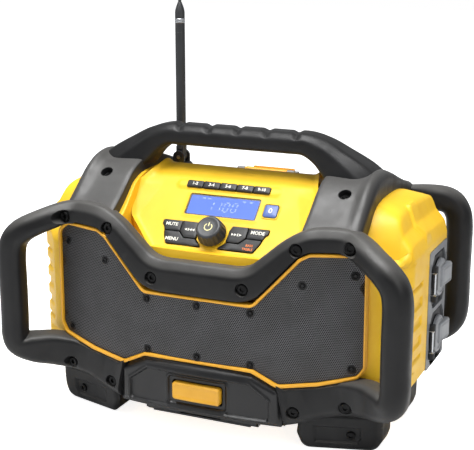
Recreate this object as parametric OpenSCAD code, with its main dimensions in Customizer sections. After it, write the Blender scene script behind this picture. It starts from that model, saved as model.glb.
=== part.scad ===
// Jobsite radio and charger: a yellow moulded housing held in rubber bumper frames with a carry handle.
// Millimetres. +Z up, the front faces -Y, the origin is on the floor under the middle of the body.

/* [Overall] */
// Width over the corner loops
overall_w = 456; // [448:2:468]
// Depth over the corner loops
overall_d = 264; // [258:2:272]
// Height of the grip above the floor
handle_top = 311; // [308:1:318]

/* [Body] */
// Width over the two side pods
body_w = 424; // [418:2:426]
// How far the middle of the grille stands in front of the origin
grille_y = 107; // [105:1:109]
// Radius of the front's bow in plan
bow_r = 656; // [640:2:680]
// How far the middle of the back stands behind the origin
rear_y = 90; // [88:1:92]
// Wall of the housings
wall = 4; // [3:0.5:5]
// Height of the housing's floor
floor_z = 24; // [22:1:26]

/* [Bumper frames] */
// Width of the tube of the corner loops
bar_w = 28; // [26:1:30]
// Depth of the tube of the corner loops
bar_d = 29; // [27:1:31]
// Thickness of the frames where they lie on the housing
frame_t = 22; // [20:1:23]
// Radius of the recess round each frame screw
recess_r = 7; // [6.4:0.2:7.6]

/* [Grille] */
// Thickness of the grille sheet
grille_t = 1.6; // [1.2:0.2:2]
// Width of the yellow lip round the grille
lip_w = 3; // [2:0.5:3.5]
// Radius of the loudspeaker opening
woofer_r = 44; // [40:1:46]
// Distance of each loudspeaker from the middle
woofer_x = 110; // [106:1:112]

/* [Control pod] */
// Width of the display window
lcd_w = 81; // [70:1:86]
// Height of the display window
lcd_h = 26; // [22:1:28]
// Radius of the knob at its foot
knob_r = 15.5; // [14:0.5:16]
// Height of the knob
knob_h = 18; // [15:0.5:20]
// Travel of the keys
key_travel = 1.2; // [0.8:0.1:1.4]
// Length of one preset key
preset_w = 18.6; // [16:0.2:19]

/* [Storage door] */
// Width of the storage door
door_w = 184.4; // [180:0.2:186]
// Height of the storage compartment
bay_h = 36; // [32:1:37]
// Depth of the storage compartment
bay_d = 70; // [50:1:76]
// Width of the yellow latch paddle
paddle_w = 55; // [46:1:60]

/* [Battery door] */
// Width of the battery door
batt_door_w = 190; // [180:1:192]
// Width of the battery tub
tub_w = 110; // [96:1:116]
// Height of the battery tub
tub_h = 130; // [110:1:134]
// Depth of the battery tub
tub_d = 62; // [50:1:64]

/* [Side sockets] */
// Distance between the two sockets
socket_pitch = 63; // [60:1:64]
// Radius of the socket covers
cover_r = 22; // [20:0.5:23]
// Radius of the socket wells
well_r = 19.5; // [17:0.5:20]

/* [Antenna] */
// Length from the fold pin to the top of the tip
mast_len = 176; // [140:1:190]
// Radius of the rubber mast
mast_r = 5.4; // [4.6:0.2:5.6]

/* [Hidden] */
$fn = 48;

// --- Clearances and small sizes ---
gap = 0.3;          // between pieces that lie against each other
slide = 0.35;       // round every moving key
run = 0.05;         // radial clearance of a pin in its bore
big = 600;          // longer than the whole radio
far = 150;          // beyond the front and the back of every piece
mid = 60;           // half way between the middle and the front, where cuts of the front moulding end
bow_fn = 360;

// --- Bow of the front and of the back, as circles in plan ---
bow_c = bow_r - grille_y;
housing_front = -2;                       // housing face behind the grille, from the grille's face
seat_back = -18;                          // housing face under the bumper frame
frame_face = 4;                           // face of the bumper frame, from the grille's face
bar_mid = (frame_face + seat_back) / 2 + gap / 2;
bar_thick = min(frame_t, frame_face - seat_back) - gap;
rear_bow_r = 1500;
rear_c = rear_y - rear_bow_r;
function front_at(x, proud) = bow_c - sqrt(pow(bow_r + proud, 2) - x * x);
function rear_at(x, proud) = rear_c + sqrt(pow(rear_bow_r + proud, 2) - x * x);

shank = 24;                               // length of the frame screws under the head

// --- Body ---
pod_x = body_w / 2;
seam_y = -5;
pod_front = -28;
pod_back = rear_y - 18;
side_low = 68;
side_top = 198;
side_wall = 8;                            // of the pods, which carry the socket panels
core_x = pod_x - 52;                      // half width of the hollow between the pods
keel_x = pod_x - 64;                      // half width of the flat underside
rib_t = 11;                               // ribs on the chamfers of the pods
rib_pitch = 20.5;
rib_first = 102;
rib_proud = 2.8;
chamfer_x = pod_x - 21;                   // where the chamfer of a pod meets the front
block_w = 24;                             // raised block on each shoulder
block_l = 34;
block_t = 2.4;
block_y = -32;
block_z = side_top + 23;
block_tilt = 40;
block_shape = [[-0.5, -0.2], [0, -0.5], [0.5, -0.3], [0.5, 0.3], [0, 0.5], [-0.5, 0.2]];
grille_edge = 171.5;                      // half width of the grille
flat_in = grille_edge - 11;               // yellow field between the grille and the chamfer
flat_low = 85;
flat_top = 202;
baffle_r = woofer_r + 8;                  // seat of a loudspeaker
woofer_back = -74;
woofer_z = 134;
panel_y = -70;
panel_z = 205;
panel_tilt = 45;
pod_rear = 18;
pod_base = 184;
pod_skin = 3;
wires_w = 76;                             // passage from the front housing into the pod
board_face = 12;                          // control board, below the panel
key_depth = board_face - 0.4 - key_travel;
preset_v = 63.5;                          // preset keys, up the slope of the panel
preset_h = 8;
lcd_v = 40;
knob_v = 5.5;
crest_y = 6;
crest_z = 266;
bend_v = 72;
bend_y = panel_y + bend_v * cos(panel_tilt);
bend_z = panel_z + bend_v * sin(panel_tilt);
top_fall = 21 / 86;                       // fall of the top towards the back
function top_at(y) = crest_z - (y - crest_y) * top_fall;

// --- Corner loops ---
sill_z = 49;
loop_x = (overall_w - bar_w) / 2;
loop_y = (overall_d - bar_d) / 2;
leg_x = 111;                              // legs that close the rear loops
leg_w = 23;
leg_top = 237.5;

// --- Feet ---
foot_x = pod_x - 63;
foot_screw_x = 10;
foot_top = 43;                            // where a foot reaches up along the slanted underside

// --- Handle ---
grip_h = 22;
grip_d = 34;
grip_z = handle_top - grip_h / 2;
groove_pitch = 33.5;
groove_r = 13;
groove_depth = 2.4;

// --- Saddles ---
saddle_in = pod_x - 104;
saddle_out = pod_x - 47;
saddle_t = 11;                            // half of it stands above the shoulder
saddle_x = (saddle_in + saddle_out) / 2;
saddle_hole_y = 47;
saddle_hole_z = 261;

// --- Storage door ---
door_t = 19;
door_skin = 11.5;                         // thickness inside the rim
door_rim = 5;
door_gap = 0.7;
door_low = floor_z + 1;
door_pin_y = -93;
door_pin_z = floor_z - 3.6;
door_barrel_r = 3.4;
door_pin_r = 1.4;
door_barrel_w = 110;
bay_w = 164;
bay_back = 70;                            // cuts of the compartment's mouth end here
bay_z = floor_z + wall + 2;
paddle_h = 19;
paddle_z = 49.5;
paddle_pin_y = -104;
paddle_pin_z = 43;

// --- Battery door ---
batt_pin_y = rear_y + 6;
batt_pin_z = 76;
batt_barrel_r = 5;
batt_pin_r = 1.5;
batt_low = batt_pin_z;
batt_top = 243;
tub_z = 82;
tub_wall = 2.5;
latch_w = 51;
latch_z = 246;

// --- Mains inlet ---
inlet_x = pod_x - 62;
inlet_z = 40;
inlet_r = 7;

// --- Mains charger: its core and coil on the left, its board on the right ---
power_gap = 8;
core_l = 62;
coil_in = 12;
board_l = 80;
board_t = 1.6;
board_x = keel_x - power_gap - board_l;

// --- Sockets ---
socket_y = 38;
socket_mid = 128.5;
sockets = [socket_mid + socket_pitch / 2, socket_mid - socket_pitch / 2];
panel_low = 68;
panel_top = 196;
panel_front = 1;
panel_back = 70;
panel_t = 4;
well_d = 17;
well_w = 54;                              // opening of the panel for one insert
well_h = 51;
well_y = socket_y + 4;
band_w = 22;                              // band across a cover
band_l = 56;
cover_pin_x = pod_x + 2.9;
cover_pin_y = socket_y - 24;
cover_pin_r = 1.2;

// --- Antenna ---
mast_x = 118.5 - pod_x;
mast_y = 50;
fold_z = 263.5;
hub_r = 11;
socket_z = fold_z - 31.5;
socket_h = 22;
fold_r = 2;

// --- Helpers ---
function unit(v) = v / norm(v);
function mirrored(p) = concat(p, [for (i = [len(p) - 1:-1:0]) [-p[i].x, p[i].y, p[i].z]]);
function flat(p) = [for (q = p) [q.x, q.y]];

// Arc of radius r that rounds the corner b between a and c
function corner(a, b, c, r) =
    r < 0.01 ? [b] :
    let (u = unit(a - b), v = unit(c - b), h = acos(u * v) / 2, o = b + unit(u + v) * r / sin(h))
    let (s = b + u * r / tan(h) - o, e = b + v * r / tan(h) - o)
    let (a0 = atan2(s.y, s.x), da = (atan2(e.y, e.x) - a0 + 540) % 360 - 180)
    [for (k = [0:5]) o + r * [cos(a0 + da * k / 5), sin(a0 + da * k / 5)]];

// Closed outline whose points [x, y, r] are rounded with their own radius
function rounded(p) = [for (i = [0:len(p) - 1])
    each corner([p[(i + len(p) - 1) % len(p)].x, p[(i + len(p) - 1) % len(p)].y], [p[i].x, p[i].y],
        [p[(i + 1) % len(p)].x, p[(i + 1) % len(p)].y], p[i].z)];

// Anticlockwise outline moved outwards by d, with its corner radii kept concentric
function grown(p, d) = [for (i = [0:len(p) - 1])
    let (a = p[(i + len(p) - 1) % len(p)], b = p[i], c = p[(i + 1) % len(p)])
    let (t = unit([b.x - a.x, b.y - a.y]), s = unit([c.x - b.x, c.y - b.y]))
    let (m = [t.y, -t.x], n = [s.y, -s.x], turn = t.x * s.y - t.y * s.x)
    let (q = (m + n) / (1 + m * n) * d)
    [b.x + q.x, b.y + q.y, b.z < 0.01 ? 0 : max(b.z + (turn > 0 ? d : -d), 0.5)]];

// Point between station i and the next of a smooth path
function between(a, b, c, d, t) =
    0.5 * (2 * b + (c - a) * t + (2 * a - 5 * b + 4 * c - d) * t * t + (3 * b - a - 3 * c + d) * t * t * t);
function eased(p, n, closed) = let (m = len(p), last = closed ? m - 1 : m - 2)
    concat([for (i = [0:last]) for (k = [0:n - 1])
        between(closed ? p[(i + m - 1) % m] : p[max(i - 1, 0)], p[i], p[(i + 1) % m],
            closed ? p[(i + 2) % m] : p[min(i + 2, m - 1)], k / n)], closed ? [] : [p[m - 1]]);

// Rounded-square ring round the station s = [x, y, z, width, depth]; the depth lies along ref
function ring(s, t, ref, sides, grow) =
    let (b = unit(ref - (ref * t) * t), n = cross(t, b), e = 2 / 3.4)
    [for (k = [0:sides - 1]) let (c = cos(360 * (k + 0.5) / sides), q = sin(360 * (k + 0.5) / sides))
        [s.x, s.y, s.z] + n * (s[3] / 2 + grow) * sign(c) * pow(abs(c), e)
            + b * (s[4] / 2 + grow) * sign(q) * pow(abs(q), e)];

// Tube with the section of ring() carried along the stations
module swept(stations, ref, n = 2, sides = 14, closed = false, grow = 0) {
    p = eased(stations, n, closed);
    m = len(p);
    tangent = [for (i = [0:m - 1])
        let (a = p[closed ? (i + m - 1) % m : max(i - 1, 0)], b = p[closed ? (i + 1) % m : min(i + 1, m - 1)])
        unit([b.x - a.x, b.y - a.y, b.z - a.z])];
    points = [for (i = [0:m - 1]) each ring(p[i], tangent[i], ref, sides, grow)];
    steps = closed ? m : m - 1;
    walls = [for (i = [0:steps - 1]) for (k = [0:sides - 1])
        let (a = i * sides + k, b = i * sides + (k + 1) % sides, j = ((i + 1) % m) * sides)
        each [[a, b, j + k], [b, j + (k + 1) % sides, j + k]]];
    ends = closed ? [] : [[for (k = [sides - 1:-1:0]) k], [for (k = [0:sides - 1]) (m - 1) * sides + k]];
    polyhedron(points = points, faces = concat(walls, ends), convexity = 8);
}

// Solid between two distances from the grille's face, bowed like the front
module front_slab(from, to) {
    difference() {
        translate([0, bow_c, -10]) cylinder(r = bow_r + to, h = big, $fn = bow_fn);
        translate([0, bow_c, -20]) cylinder(r = bow_r + from, h = big + 20, $fn = bow_fn);
    }
}

// Everything behind a surface parallel to the grille
module behind(proud) translate([0, bow_c, -10]) cylinder(r = bow_r + proud, h = big, $fn = bow_fn);

// Everything in front of a surface parallel to the back
module before_back(proud) translate([0, rear_c, -10]) cylinder(r = rear_bow_r + proud, h = big, $fn = bow_fn);

// Outline in X and Z, extruded along Y from y0 to y1
module along_y(outline, y0, y1) {
    translate([0, y1, 0]) rotate([90, 0, 0]) linear_extrude(y1 - y0) polygon(flat(outline));
}

// Outline in Y and Z, extruded along X from x0 to x1
module along_x(outline, x0, x1) {
    translate([x0, 0, 0]) rotate([90, 0, 90]) linear_extrude(x1 - x0) polygon(outline);
}

// Places a piece on the control panel: X stays, Y runs up the slope and Z stands out of it
module on_panel() translate([0, panel_y, panel_z]) rotate([panel_tilt, 0, 0]) children();

// Places a piece on the front, at x and z, with its Z standing out of the surface
module on_front(x, z, proud) {
    turn = asin(x / (bow_r + proud));
    translate([0, bow_c, z]) rotate([0, 0, turn]) translate([0, -bow_r - proud, 0])
        rotate([90, 0, 0]) children();
}

module on_rear(x, z, proud) {
    turn = -asin(x / (rear_bow_r + proud));
    translate([0, rear_c, z]) rotate([0, 0, turn]) translate([0, rear_bow_r + proud, 0])
        rotate([-90, 0, 0]) children();
}

module bar_x(x0, x1, y, z, r) translate([x0, y, z]) rotate([0, 90, 0]) cylinder(r = r, h = x1 - x0);

module pair() {
    children();
    mirror([1, 0, 0]) children();
}

// --- Outlines ---
// Grille, seen from the front
function grille_half() = [[grille_edge, 101, 8], [grille_edge, 203, 10], [160, 211.5, 9], [118, 209.5, 10],
    [108, 203.5, 8], [61, 150, 12]];
function grille_low() = [[61, 84.5, 10], [88, 71.5, 8], [130, 79.5, 14], [163, 91, 10]];
grille_outline = mirrored(concat(grille_low(), grille_half()));

// Shoulders and side pods, seen from the front
body_outline = rounded(mirrored([[keel_x, floor_z, 6], [pod_x - 42, floor_z + 10, 12], [pod_x - 12, 56, 10],
    [pod_x, side_low + 2, 8], [pod_x, side_top + 4, 9], [pod_x - 7, 215, 9], [pod_x - 22, 226, 7],
    [pod_x - 28, 242, 12], [saddle_out, 252, 8], [core_x - 10, 263, 0]]));

// Shoulders, seen from the side
shoulder_line = [[-120, 205], [-78, 222], [-66, 231], [-44, 250.5], [-35, 255], [-26, 258], [-12, 260.3],
    [0, 261], [14, 261], [26, 260], [41, 256.6], [56, 252], [73, 245.4], [rear_y, 238], [rear_y + 30, 226],
    [rear_y + 30, floor_z], [-120, floor_z]];

// The same line inside the wall of the shoulders
lining = [for (p = shoulder_line) [p.x, p.y - (p.y <= floor_z ? 0 : wall * 1.3)]];

// Middle of the top, seen from the front and from the side
pod_outline = mirrored([[54, pod_base, 0], [98, 217, 0], [104, 232, 0], [104, 243, 0], [100, 253, 0],
    [88, crest_z + 2, 0]]);
top_outline = mirrored([[104, 170, 0], [104, 243, 0], [100, 253, 0], [88, crest_z + 2, 0]]);
top_line = [[-120, panel_z - 50 * tan(panel_tilt)], [bend_y, bend_z], [crest_y, crest_z],
    [rear_y + 40, top_at(rear_y + 40)], [rear_y + 40, 170], [-120, 140]];
inner_line = [for (p = top_line) p - [0, pod_skin * 1.4]];

// Plan of the body with its chamfered pods
chamfer_y = front_at(chamfer_x, housing_front);
plan_outline = rounded(mirrored([[chamfer_x, -120, 0], [chamfer_x, chamfer_y, 0], [pod_x, pod_front, 7],
    [pod_x, pod_back, 2], [pod_x - 8, pod_back + 8, 3], [pod_x - 8, 120, 0]]));

// --- Stations of the swept rubber pieces: [x, y, z, width, depth] ---
function on_bow(x, z, w) = [x, front_at(x, bar_mid), z, w, bar_thick];
function on_back(x, z, w) = [x, rear_at(x, 0.5 + frame_t / 2), z, w, frame_t - 0.5];
function reflected(p) = [for (i = [len(p) - 1:-1:0]) [-p[i].x, p[i].y, p[i].z, p[i][3], p[i][4]]];

front_loop = [on_bow(door_w / 2 - 6, 45.5, 42), on_bow(108, 51.5, 42), on_bow(130, 58.5, 42),
    [155, -84, 63, 39, 24], [loop_x - 34, -92, 66, 35, 26], [loop_x - 16, 12 - loop_y, 68.5, 31, 27.5],
    [loop_x - 4, 3 - loop_y, 73, bar_w + 1, bar_d], [loop_x, -loop_y, 84, bar_w, bar_d],
    [loop_x, -loop_y, 110, bar_w, bar_d], [loop_x, -loop_y, 145, bar_w, bar_d],
    [loop_x, -loop_y, 178, bar_w, bar_d], [loop_x - 6, 3 - loop_y, 197, bar_w, bar_d],
    [loop_x - 20, 13 - loop_y, 212, bar_w, 28], [171, -90, 223, 28, 26], [152, -84.5, 228, 28, 24],
    on_bow(133, 228, 28), on_bow(113, 223, 30), on_bow(98, 211.5, 31), on_bow(80, 194, 32),
    on_bow(62, 177.5, 33), on_bow(44, 170.5, 34), on_bow(22, 170.5, 34)];
front_path = concat(front_loop, [on_bow(0, 170.5, 34)], reflected(front_loop));

rear_loop = [on_back(50, sill_z, 32), on_back(100, sill_z + 1, 32), on_back(126, 59, 33),
    on_back(150, 69, 35), [loop_x - 36, loop_y - 12, 75, 32, 26], [loop_x - 16, loop_y - 4, 80, 30, 28],
    [loop_x - 4, loop_y - 1, 89, bar_w, bar_d], [loop_x, loop_y, 106, bar_w, bar_d],
    [loop_x, loop_y, 150, bar_w, bar_d], [loop_x, loop_y, 198, bar_w, bar_d],
    [loop_x - 4, loop_y, 216, bar_w, bar_d], [loop_x - 14, loop_y - 2, 226, bar_w, bar_d],
    [loop_x - 34, loop_y - 9, 229, 28, 27], on_back(150, 229, 28), on_back(126, 227.5, 28),
    on_back(leg_x - 5, 226, 28)];
rear_path = concat(reflected(rear_loop), [on_back(0, sill_z, 32)], rear_loop);

// The underside of a saddle lies inside the shoulder, which then trims it
saddle_w = saddle_out - saddle_in;
saddle_line = [[-87, 230], [-76, 237.5], [-62, 248], [-44, 262], [-25, 271], [0, 274], [25, 273],
    [54, 265], [80, 255], [99, 247.5]];
saddle_path = [for (q = saddle_line) [saddle_x, q.x, q.y - saddle_t, 2 * saddle_t, saddle_w]];

// Rounded ridge along the outer edge of a saddle: how far it stands above it at each station
ridge_w = 14;
ridge_rise = [-2, 0.5, 2, 3.5, 5, 5.5, 5, 4, 2, 0];
ridge_path = [for (i = [0:9])
    [saddle_out - ridge_w / 2, saddle_line[i].x, saddle_line[i].y + ridge_rise[i] - 8, 16, ridge_w]];

handle_half = [[saddle_x + 4, 0, 256, 48, 50], [saddle_x - 5.5, 0, 266, 43, 48],
    [saddle_x - 22.5, 0, 280, 35, 42], [saddle_x - 38.5, 0, grip_z - 8, 28, 37],
    [saddle_x - 56.5, 0, grip_z - 0.5, grip_h + 1, grip_d + 1], [saddle_x - 76.5, 0, grip_z, grip_h, grip_d],
    [saddle_x - 106.5, 0, grip_z, grip_h, grip_d]];
handle_path = concat(handle_half, [[0, 0, grip_z, grip_h, grip_d]], reflected(handle_half));

module front_bar() swept(front_path, [0, 1, 0]);
module rear_bar() swept(rear_path, [0, 1, 0]);

// Legs that close the two rear loops along the housing
rear_leg = [[leg_x - leg_w / 2, sill_z, 0], [leg_x + leg_w / 2, sill_z, 0], [leg_x + leg_w / 2, leg_top, 0],
    [leg_x - leg_w / 2, leg_top, 9]];
module rear_legs() pair() intersection() {
    along_y(rounded(rear_leg), 60, 130);
    difference() {
        before_back(frame_t);
        before_back(0.5);
    }
}

// --- Screw places ---
front_screws = [[159, 222], [105, 215], [51, 169], [157.5, 57], [105, 43]];
rear_screws = [[150, 229], [111, 176], [111, 112], [150, 70]];
grille_places = [[161, 190], [111, 177], [58.3, 143], [159, 100], [58.3, 90]];

// Recess and clearance hole of a frame screw, seen along its axis
module screw_hole() {
    translate([0, 0, -5]) cylinder(r = recess_r, h = 40);
    translate([0, 0, -shank - 10]) cylinder(r = 2.6, h = shank + 20);
}

// Hole of a screw's thread in the housing, seen along the axis of the screw
module thread() translate([0, 0, -shank - 6]) cylinder(r = 2.25, h = shank + 1);

// Pan head with a hexagon socket, and its shank
module frame_screw() {
    difference() {
        translate([0, 0, -5]) union() {
            cylinder(r = recess_r - 1.2, h = 2.4, $fn = 36);
            translate([0, 0, 2.4]) cylinder(r1 = recess_r - 1.2, r2 = recess_r - 2.6, h = 1.2, $fn = 36);
        }
        translate([0, 0, -3.4]) cylinder(r = 2.4, h = 4, $fn = 6);
    }
    translate([0, 0, -5 - shank]) cylinder(r = 2.2, h = shank);
}

// --- Housings ---
// Raised block on a shoulder, lying on its slope
module shoulder_block() {
    translate([pod_x - 14, block_y, block_z]) rotate([0, block_tilt, 0]) translate([0, 0, -10])
        linear_extrude(10 + block_t)
            polygon(rounded([for (q = block_shape) [q.x * block_w, q.y * block_l, 2]]));
}

module shoulder_prism() intersection() {
    along_y(body_outline, -far, far);
    along_x(shoulder_line, -pod_x - 5, pod_x + 5);
}

module shoulders() {
    intersection() {
        union() {
            shoulder_prism();
            pair() shoulder_block();
        }
        translate([0, 0, floor_z - 5]) linear_extrude(300) polygon(flat(plan_outline));
        behind(seat_back);
        before_back(0);
    }
}

// Face plate that carries the grille, with the raised lip round it and a plain field beside it
module face_plate() {
    intersection() {
        along_y(rounded(grown(grille_outline, lip_w)), -far, 5 - mid);
        front_slab(seat_back + 0.02, housing_front);
    }
    intersection() {
        difference() {
            along_y(rounded(grown(grille_outline, lip_w)), -far, -mid);
            along_y(rounded(grille_outline), -far - 1, 1 - mid);
        }
        front_slab(housing_front - 1, frame_face - 0.5);
    }
    pair() intersection() {
        translate([flat_in, -far, flat_low]) cube([chamfer_x - flat_in, far - mid, flat_top - flat_low]);
        front_slab(seat_back + 0.02, housing_front);
    }
}

// Ribbed chamfer of one side pod: the fields between its ribs, which run out towards the side
module rib_grooves() {
    turn = atan2(pod_front - chamfer_y, pod_x - chamfer_x);
    run_out = norm([pod_x - chamfer_x, pod_front - chamfer_y]) - 5;
    field = rib_pitch - rib_t;
    for (i = [-1:3]) translate([chamfer_x, chamfer_y, rib_first + (i + 0.5) * rib_pitch - field / 2])
        rotate([0, 0, turn]) linear_extrude(field)
            polygon([[3, -9], [run_out, -9], [run_out, 0], [run_out - 7, rib_proud], [3, rib_proud]]);
}

// Round room of a loudspeaker, from so far in front of the back of its flange to so far behind it
module woofer_room(r, ahead, behind_it) translate([woofer_x, woofer_back + behind_it, woofer_z])
    rotate([90, 0, 0]) cylinder(r = r, h = ahead + behind_it);

module pod_room(clear) {
    along_y(rounded(grown(pod_outline, clear)), -far, pod_rear + clear);
}

module front_cavity() {
    intersection() {
        union() {
            translate([-core_x, -100, floor_z + wall]) cube([2 * core_x, 105 + seam_y, 180 - floor_z - wall]);
            translate([-pod_x + side_wall, pod_front + 4, side_low + side_wall])
                cube([body_w - 2 * side_wall, seam_y + 6 - pod_front, 180 - side_low - side_wall]);
            pair() along_y([[saddle_in + 3, 175], [pod_x - 32, 175], [pod_x - 32, 222], [saddle_out - 3, 243],
                [saddle_in + 3, 243]], -100, seam_y + 10);
        }
        along_x(lining, -pod_x, pod_x);
        behind(seat_back - wall);
    }
}

module rear_cavity() {
    intersection() {
        union() {
            translate([-pod_x + 14, seam_y - 5, floor_z + wall + 8])
                cube([body_w - 28, rear_y - wall - seam_y + 5, 230]);
            translate([3 - keel_x, seam_y - 5, floor_z + wall])
                cube([2 * keel_x - 6, rear_y - wall - seam_y + 5, 30]);
        }
        union() {
            intersection() {
                along_x(lining, -pod_x, pod_x);
                along_y(mirrored([[keel_x - 5, 20, 0], [pod_x - 48, 38, 0], [pod_x - 15, 62, 0],
                    [pod_x - side_wall, 74, 0], [pod_x - side_wall, 192, 0], [pod_x - 34, 226, 0],
                    [saddle_out - 4, 243, 0], [core_x - 10, 258, 0]]), -far, far);
            }
            intersection() {
                along_x(inner_line, -99, 99);
                along_y(mirrored([[99, 100, 0], [99, 240, 0], [84, 264, 0]]), pod_rear - 5, 120);
            }
        }
        before_back(-wall);
    }
}

module front_housing() color("#f5b81c") {
    difference() {
        union() {
            intersection() {
                shoulders();
                translate([-big / 2, -big, 0]) cube([big, big + seam_y, big]);
            }
        }
        front_cavity();
        pod_room(gap);
        pair() woofer_room(baffle_r + 0.02, 60, 34);
        translate([-bay_w / 2, -far, bay_z]) cube([bay_w, far - bay_back, bay_h]);
        for (p = front_screws) for (side = [-1, 1]) on_front(side * p.x, p.y, frame_face) thread();
        for (side = [-1, 1]) on_saddle(side, -1) thread();
        pair() rib_grooves();
        // passage of the wires up into the pod
        translate([-wires_w / 2, -mid, pod_base - 14]) cube([wires_w, 40, 20]);
    }
    // lugs of the storage door's pin
    for (side = [-1, 1]) difference() {
        translate([side * (door_barrel_w / 2 + 6) - 4, 0, 0]) {
            bar_x(0, 8, door_pin_y, door_pin_z, door_barrel_r);
            translate([0, door_pin_y, door_pin_z - door_barrel_r]) cube([8, 13, door_barrel_r + 3.7]);
        }
        bar_x(-100, 100, door_pin_y, door_pin_z, door_pin_r);
    }
}

// Front moulding that holds the loudspeakers and the grille
module speaker_baffle() color("#f5b81c") difference() {
    union() {
        face_plate();
        pair() intersection() {
            woofer_room(baffle_r, 60, 0);
            behind(seat_back + 1);
        }
    }
    pair() woofer_room(woofer_r, 90, 0);
    pair() woofer_room(woofer_r + 6 + gap, 0, 34);
    translate([-bay_w / 2, -far, bay_z]) cube([bay_w, far - bay_back, bay_h]);
}

module rear_housing() color("#f5b81c") {
    difference() {
        union() {
            intersection() {
                union() {
                    shoulders();
                    intersection() {
                        along_y(top_outline, pod_rear + gap, far);
                        along_x(top_line, -far, far);
                        before_back(0);
                    }
                }
                translate([-big / 2, seam_y, 0]) cube([big, big, big]);
            }
            // lugs of the battery door's pin
            for (side = [-1, 1]) translate([side * 62 - 4, 0, 0]) {
                bar_x(0, 8, batt_pin_y, batt_pin_z, batt_barrel_r);
                translate([0, rear_y - 6, batt_pin_z - batt_barrel_r]) cube([8, 12, 2 * batt_barrel_r]);
            }
        }
        rear_cavity();
        pod_room(gap);
        translate([-tub_w / 2 - gap, mid, tub_z - gap]) cube([tub_w + 2 * gap, mid, tub_h + 2 * gap]);
        bar_x(-100, 100, batt_pin_y, batt_pin_z, batt_pin_r);
        // seat of the rear latch
        translate([-latch_w / 2 - 10, rear_y - 20, latch_z]) cube([latch_w + 20, 60, 40]);
        // opening of the socket panel
        translate([pod_x - 20, panel_front - gap, panel_low - gap])
            cube([30, panel_back - panel_front + 2 * gap, panel_top - panel_low + 2 * gap]);
        translate([mast_x, mast_y, socket_z - 7]) cylinder(r = hub_r + gap, h = big);
        translate([inlet_x, 0, inlet_z]) rotate([-90, 0, 0]) cylinder(r = inlet_r, h = 120);
        for (p = rear_screws) for (side = [-1, 1]) on_rear(side * p.x, p.y, frame_t) thread();
        for (side = [-1, 1]) on_saddle(side, 1) thread();
    }
}

module control_pod() color("#f9c22b") {
    difference() {
        intersection() {
            along_y(rounded(pod_outline), -far, pod_rear);
            along_x(top_line, -far, far);
            behind(seat_back);
        }
        intersection() {
            along_y(mirrored([[51, pod_base - 1, 0], [95, 218.3, 0], [101, 233, 0], [101, 242, 0],
                [97, 251, 0], [86, crest_z - 2, 0]]), -far, pod_rear + 1);
            along_x(inner_line, -far, far);
            behind(seat_back - wall);
        }
        on_panel() {
            translate([0, lcd_v, -10]) linear_extrude(30)
                square([lcd_w + 2 * gap, lcd_h + 2 * gap], center = true);
            translate([0, knob_v, -10]) cylinder(r = 4, h = 30);
            for (key = [0:6]) translate([0, 0, -10]) linear_extrude(30) key_shape(key, slide);
            translate([0, preset_v, -10]) linear_extrude(30)
                square([5 * preset_w + 4 * 0.6 + 2 * slide, preset_h + 2 * slide], center = true);
            // scooped ends of the recess that the preset keys stand in
            translate([0, preset_v, -1.4]) linear_extrude(30)
                polygon(rounded([for (q = [[-1, -1], [1, -1], [1, 1], [-1, 1]])
                    [q.x * (2.5 * preset_w + 14), q.y * (preset_h / 2 + 1.2), 4.5]]));
        }
    }
    // posts of the control board
    on_panel() for (side = [-1, 1]) for (p = [[61, 3], [68, 50]])
        translate([side * p.x, p.y, -12]) cylinder(r = 3, h = 12 - 1);
}

// --- Keys, drawn on the panel ---
pad = [[[-60, 12], [-60, 17.5], [-38, 17.5], [-38, 5.2], [-55.6, 5.2], [-57.3, 10]],
    [[-53.6, -1], [-55.2, 4.4], [-38, 4.4], [-31, -2.6], [-18, -2.6], [-9, -10.5], [-49, -10.5]],
    [[-37.2, 5], [-37.2, 17.5], [-19.5, 17.5], [-17.5, 12], [-17.2, -1.8], [-30.7, -1.8]]];

module key_shape(key, clear) {
    if (key == 0) translate([54.5, 40.2]) square([15 + 2 * clear, 15 + 2 * clear], center = true);
    if (key > 0 && key < 4) polygon(flat(grown(sealed(pad[key - 1]), clear)));
    if (key >= 4) mirror([1, 0]) polygon(flat(grown(sealed(pad[key - 4]), clear)));
}

// Anticlockwise copy of an outline, with a corner radius of nought
function sealed(p) = let (n = len(p), area = [for (i = 0, s = 0; i <= n;
    s = s + (i < n ? p[i].x * p[(i + 1) % n].y - p[(i + 1) % n].x * p[i].y : 0), i = i + 1) s][n])
    [for (i = [0:n - 1]) let (q = p[area > 0 ? i : n - 1 - i]) [q.x, q.y, 0]];

module preset_place(i) translate([(i - 2) * (preset_w + 0.6), preset_v, 0]) children();

module key(number, proud) on_panel() translate([0, 0, -key_depth])
    linear_extrude(key_depth + proud) key_shape(number, 0);

module preset(i) color("#2b2d30") on_panel() preset_place(i)
    translate([-preset_w / 2, -preset_h / 2, -key_depth]) cube([preset_w, preset_h, key_depth + 3.6]);

// --- Rubber frames, saddles and handle ---
module front_bumper_frame() color("#34363a") {
    difference() {
        front_bar();
        along_y(rounded(grown(grille_outline, lip_w + gap)), -far, -mid);
        along_y(grown(door_outline, door_gap), -far, -mid);
        for (p = front_screws) for (side = [-1, 1]) on_front(side * p.x, p.y, frame_face) screw_hole();
        behind(seat_back);
    }
}

module rear_bumper_frame() color("#34363a") {
    difference() {
        union() {
            rear_bar();
            rear_legs();
        }
        for (p = rear_screws) for (side = [-1, 1]) on_rear(side * p.x, p.y, frame_t) screw_hole();
        before_back(0);
    }
}

// Places a screw on a saddle, square to its slope
module on_saddle(side, end) {
    tilt = end < 0 ? 38 : -24;
    translate([side * (saddle_x - 1), end * saddle_hole_y, saddle_hole_z]) rotate([tilt, 0, 0]) children();
}

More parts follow.
